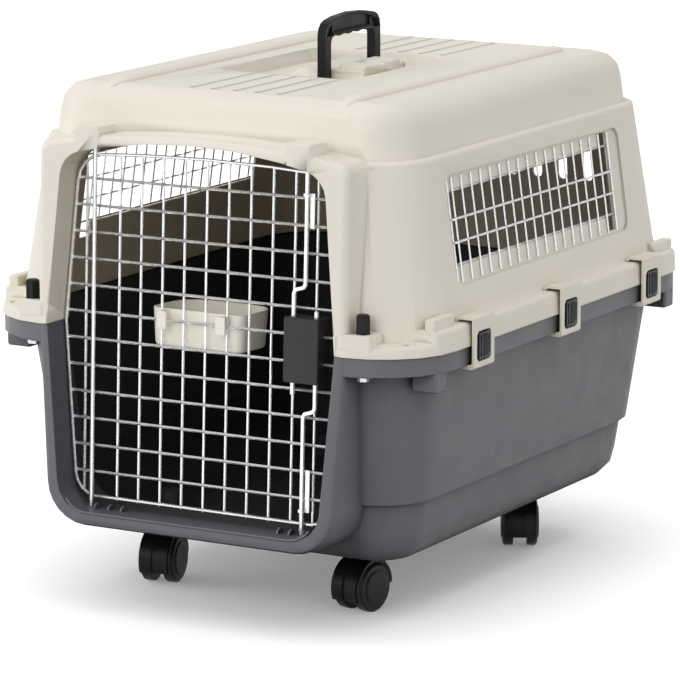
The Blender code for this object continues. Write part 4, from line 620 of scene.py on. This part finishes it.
def roof_rail(sign, name):
    """A round-topped rail that narrows and sinks into the roof at both ends."""
    rings = []
    stations, corners = 64, 12
    middle = sign * RAIL_X
    for step in range(stations + 1):
        y = RAIL_FRONT_Y + (RAIL_REAR_Y - RAIL_FRONT_Y) * step / stations
        rise = ease((y - RAIL_FRONT_Y) / RAIL_FRONT_TAPER) * ease((RAIL_REAR_Y - y) / RAIL_REAR_TAPER)
        skin = roof_height(y)
        half = RAIL_HALF * (RAIL_TIP_SHARE + (1 - RAIL_TIP_SHARE) * rise)
        ring = [(middle + half, y, skin - RAIL_SINK)]
        for corner in range(corners + 1):
            angle = math.pi * corner / corners
            lift = math.sin(angle) ** 0.8 * RAIL_HEIGHT * rise
            ring.append((middle + half * math.cos(angle), y, skin - RAIL_OVERLAP + lift))
        ring.append((middle - half, y, skin - RAIL_SINK))
        rings.append(ring)
    add_piece("roof_rail_" + name, loft(rings), "shell_cream", "shell")


# Handle


def grip_pocket():
    """The outline of the long pocket under the grip, its top bowed."""
    half = GRIP_POCKET_HALF
    outline = [(-half, HANDLE_PIVOT_Z + GRIP_POCKET_LOW), (half, HANDLE_PIVOT_Z + GRIP_POCKET_LOW)]
    for step in range(9):
        share = 1 - step / 4
        outline.append((half * share, HANDLE_PIVOT_Z + GRIP_POCKET_HIGH - GRIP_POCKET_SAG * share ** 2))
    return outline


def corner_pocket():
    """The outline of the quarter-round pocket in the handle's corner."""
    y, z, radius = CORNER_POCKET_Y, HANDLE_PIVOT_Z + CORNER_POCKET_Z, CORNER_POCKET_RADIUS
    outline = [(CORNER_POCKET_START, z + CORNER_POCKET_FOOT), (y + radius, z + CORNER_POCKET_FOOT)]
    for step in range(1, 7):
        angle = math.radians(5 + 85 * step / 6)
        outline.append((y + radius * math.cos(angle), z + radius * math.sin(angle)))
    outline.append((CORNER_POCKET_START, z + radius))
    return outline


def handle_skin():
    """The handle with deeper pockets: one along the grip and one in each corner."""
    cutters = []
    for sign in (-1, 1):
        near = HANDLE_X + sign * HANDLE_WEB / 2
        low, high = sorted((near, HANDLE_X + sign * HANDLE_THICKNESS))
        cutters.append(prism(grip_pocket(), low, high))
        for mirror in (-1, 1):
            cutters.append(prism([(mirror * y, z) for y, z in corner_pocket()], low, high))
    mesh = cut_away(copied("handle"), joined("pockets", cutters))
    item = add_piece("handle_skin", mesh, "fitting_black", "handle_body")
    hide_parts("handle")


# Rim latches' buttons


def button_meshes():
    """A plate with an hourglass pocket, and its upright ridges: x outwards, y across, z up."""
    face = soft_box(*BUTTON_FACE, 0.0006)
    y, reach = BUTTON_POCKET_Y, BUTTON_POCKET_REACH
    half, waist = BUTTON_POCKET_HALF, BUTTON_POCKET_WAIST
    pocket = [(y - half, -reach), (y + half, -reach), (y + waist, 0.0)]
    pocket += [(y + half, reach), (y - half, reach), (y - waist, 0.0)]
    shapes = [cut_away(face, prism(pocket, BUTTON_POCKET_FLOOR, 0.002))]
    for number, height in enumerate(BUTTON_RIDGES):
        middle = BUTTON_RIDGE_START + BUTTON_RIDGE_PITCH * number
        low = (BUTTON_RIDGE_SINK, middle - BUTTON_RIDGE_HALF, -height)
        high = (BUTTON_RIDGE_TOP, middle + BUTTON_RIDGE_HALF, height)
        shapes.append(soft_box(low, high, 0.0005))
    return shapes


def latch_buttons():
    """A ridged button on its black back plate in each latch."""
    for node in [name for name in frame["nodes"] if name.startswith("latch_button")]:
        low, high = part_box(node)
        side = 1 if high[0] > 0 else -1
        face_x = high[0] if side > 0 else low[0]
        turn = Matrix.Rotation(0 if side > 0 else math.pi, 4, "Z")
        middle = (face_x, (low[1] + high[1]) / 2, (low[2] + high[2]) / 2)
        place = Matrix.Translation(middle) @ turn
        name = node.removeprefix("latch_button_")
        body = node + "_body"
        shapes = [soft_box(*BUTTON_PLATE, 0.0002), soft_box(*BUTTON_STEM, 0.0004)]
        back = add_piece("button_back_" + name, joined("back", shapes, place), "fitting_black", body)
        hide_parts(node)
        add_piece("button_face_" + name, joined("face", button_meshes(), place), "clip_grey", body)


# Casters


def arc_block(start, finish, left, right, inner, outer, steps=8):
    """A curved block about the wheel's axle, between two angles in degrees."""
    rings = []
    for step in range(steps + 1):
        angle = math.radians(start + (finish - start) * step / steps)
        c, s = math.cos(angle), math.sin(angle)
        rings.append([(left, inner * c, inner * s), (right, inner * c, inner * s)])
        rings[-1] += [(right, outer * c, outer * s), (left, outer * c, outer * s)]
    return loft(rings)


def pedal_blocks():
    """Two raised pads on the hood's front, ribs on the left pad, and a lip along both edges of the hood."""
    sunk, proud = HOOD_RADIUS - PEDAL_SINK, HOOD_RADIUS + PEDAL_RISE
    blocks = [arc_block(*PEDAL_ARC, left, right, sunk, proud) for left, right in PEDAL_PADS]
    for number in range(PEDAL_RIBS):
        start = PEDAL_RIB_START + number * PEDAL_RIB_PITCH
        arc = (start, start + PEDAL_RIB_WIDTH)
        blocks.append(arc_block(*arc, *PEDAL_RIB_SPAN, proud - PEDAL_RIB_SINK, proud + PEDAL_RIB_RISE, 2))
    for edge in (-1, 1):
        left, right = sorted((edge * (HOOD_HALF - LIP_INSIDE), edge * (HOOD_HALF + LIP_OUTSIDE)))
        blocks.append(arc_block(*LIP_ARC, left, right, sunk, HOOD_RADIUS + LIP_RISE, 40))
    return blocks


def caster_details(name, angle):
    """Pads, ribs and lips on the hood, and a raised disc on each wheel's face."""
    sign_x = -1 if name.endswith("left") else 1
    sign_y = -1 if name.startswith("front") else 1
    spot = Matrix.Translation((sign_x * CASTER_X, sign_y * CASTER_Y, 0))
    axle = Matrix.Translation((0, -CASTER_TRAIL, WHEEL_RADIUS))
    place = spot @ Matrix.Rotation(math.radians(angle), 4, "Z") @ axle
    pedal = joined("pedal", pedal_blocks(), place)
    add_piece("caster_pedal_" + name, pedal, "fitting_black", "caster_" + name)
    profile = [(WHEEL_FACE + out, radius) for out, radius in DISC_PROFILE]
    discs = [lathe(profile), lathe([(-x, radius) for x, radius in profile])]
    add_piece("wheel_discs_" + name, joined("discs", discs, place), "fitting_black", "wheels_" + name)


# Door and windows


def door_frame():
    """Origin on the door's wire plane at the rim's height, +Z up along the leaning door."""
    return Matrix.Translation((0, DOOR_Y, RIM_Z)) @ Matrix.Rotation(-math.atan(DOOR_LEAN), 4, "X")


def sill_bead():
    """A rounded bead along the front edge of the sill and into both corners."""
    low = -OPENING_BELOW - BEAD_OUTSIDE
    half = OPENING_HALF - OPENING_TAPER * OPENING_BELOW + BEAD_OUTSIDE
    turn = math.pi / 2 + math.atan(OPENING_TAPER)
    centre_u, centre_w = half - BEAD_BEND * math.tan(turn / 2), low + BEAD_BEND
    path = []
    for step in range(8):
        angle = -math.pi / 2 + BEAD_TURN_SHARE * turn * step / 7
        path.append((centre_u + BEAD_BEND * math.cos(angle), centre_w + BEAD_BEND * math.sin(angle)))
    outline = [(-u, w) for u, w in path[::-1]] + path
    points = [(u, -COLLAR_FRONT + BEAD_SINK, w) for u, w in outline]
    mesh = joined("bead", [tube(points, BEAD_RADIUS)], door_frame())
    add_piece("sill_bead", mesh, "tub_grey", "shell")


def middle_door_wire():
    """The upright wire in the middle of the door, from the frame's low bar to its arch."""
    path = [(0.0, 0.0, DOOR_WIRE_FOOT), (0.0, 0.0, DOOR_WIRE_TOP)]
    mesh = joined("upright", [tube(path, DOOR_WIRE_RADIUS)], door_frame())
    add_piece("door_wire_middle", mesh, "wire_chrome", "door")


def window_edge_wires():
    """The upright wire at one end of each window, with two short ties to the grille."""
    foot = Matrix.Translation((WALL_FOOT_X, 0, LEDGE_Z))
    lean = Matrix.Rotation(-math.atan(SIDE_LEAN), 4, "Y")
    x = WINDOW_EDGE_X + WINDOW_WIRE_RADIUS
    tie_x = x + WINDOW_TIE_RISE
    for turn, name in ((0.0, "right"), (math.pi, "left")):
        paths = [[(x, WINDOW_EDGE_Y, WINDOW_EDGE_FOOT), (x, WINDOW_EDGE_Y, WINDOW_EDGE_TOP)]]
        for w in WINDOW_ROWS:
            paths.append([(tie_x, WINDOW_EDGE_Y - WINDOW_TIE_START, w), (tie_x, WINDOW_TIE_END_Y, w)])
        place = Matrix.Rotation(turn, 4, "Z") @ foot @ lean
        mesh = joined("edge", [tube(path, WINDOW_WIRE_RADIUS) for path in paths], place)
        add_piece("window_edge_" + name, mesh, "wire_chrome", "shell")


# Building

camera()
floor()
lights()
for node_name in frame["nodes"]:
    dress(node_name)
shell_skin()
roof_rail(-1, "left")
roof_rail(1, "right")
handle_skin()
latch_buttons()
for caster_name, caster_angle in CASTER_ANGLES.items():
    caster_details(caster_name, caster_angle)
sill_bead()
middle_door_wire()
window_edge_wires()
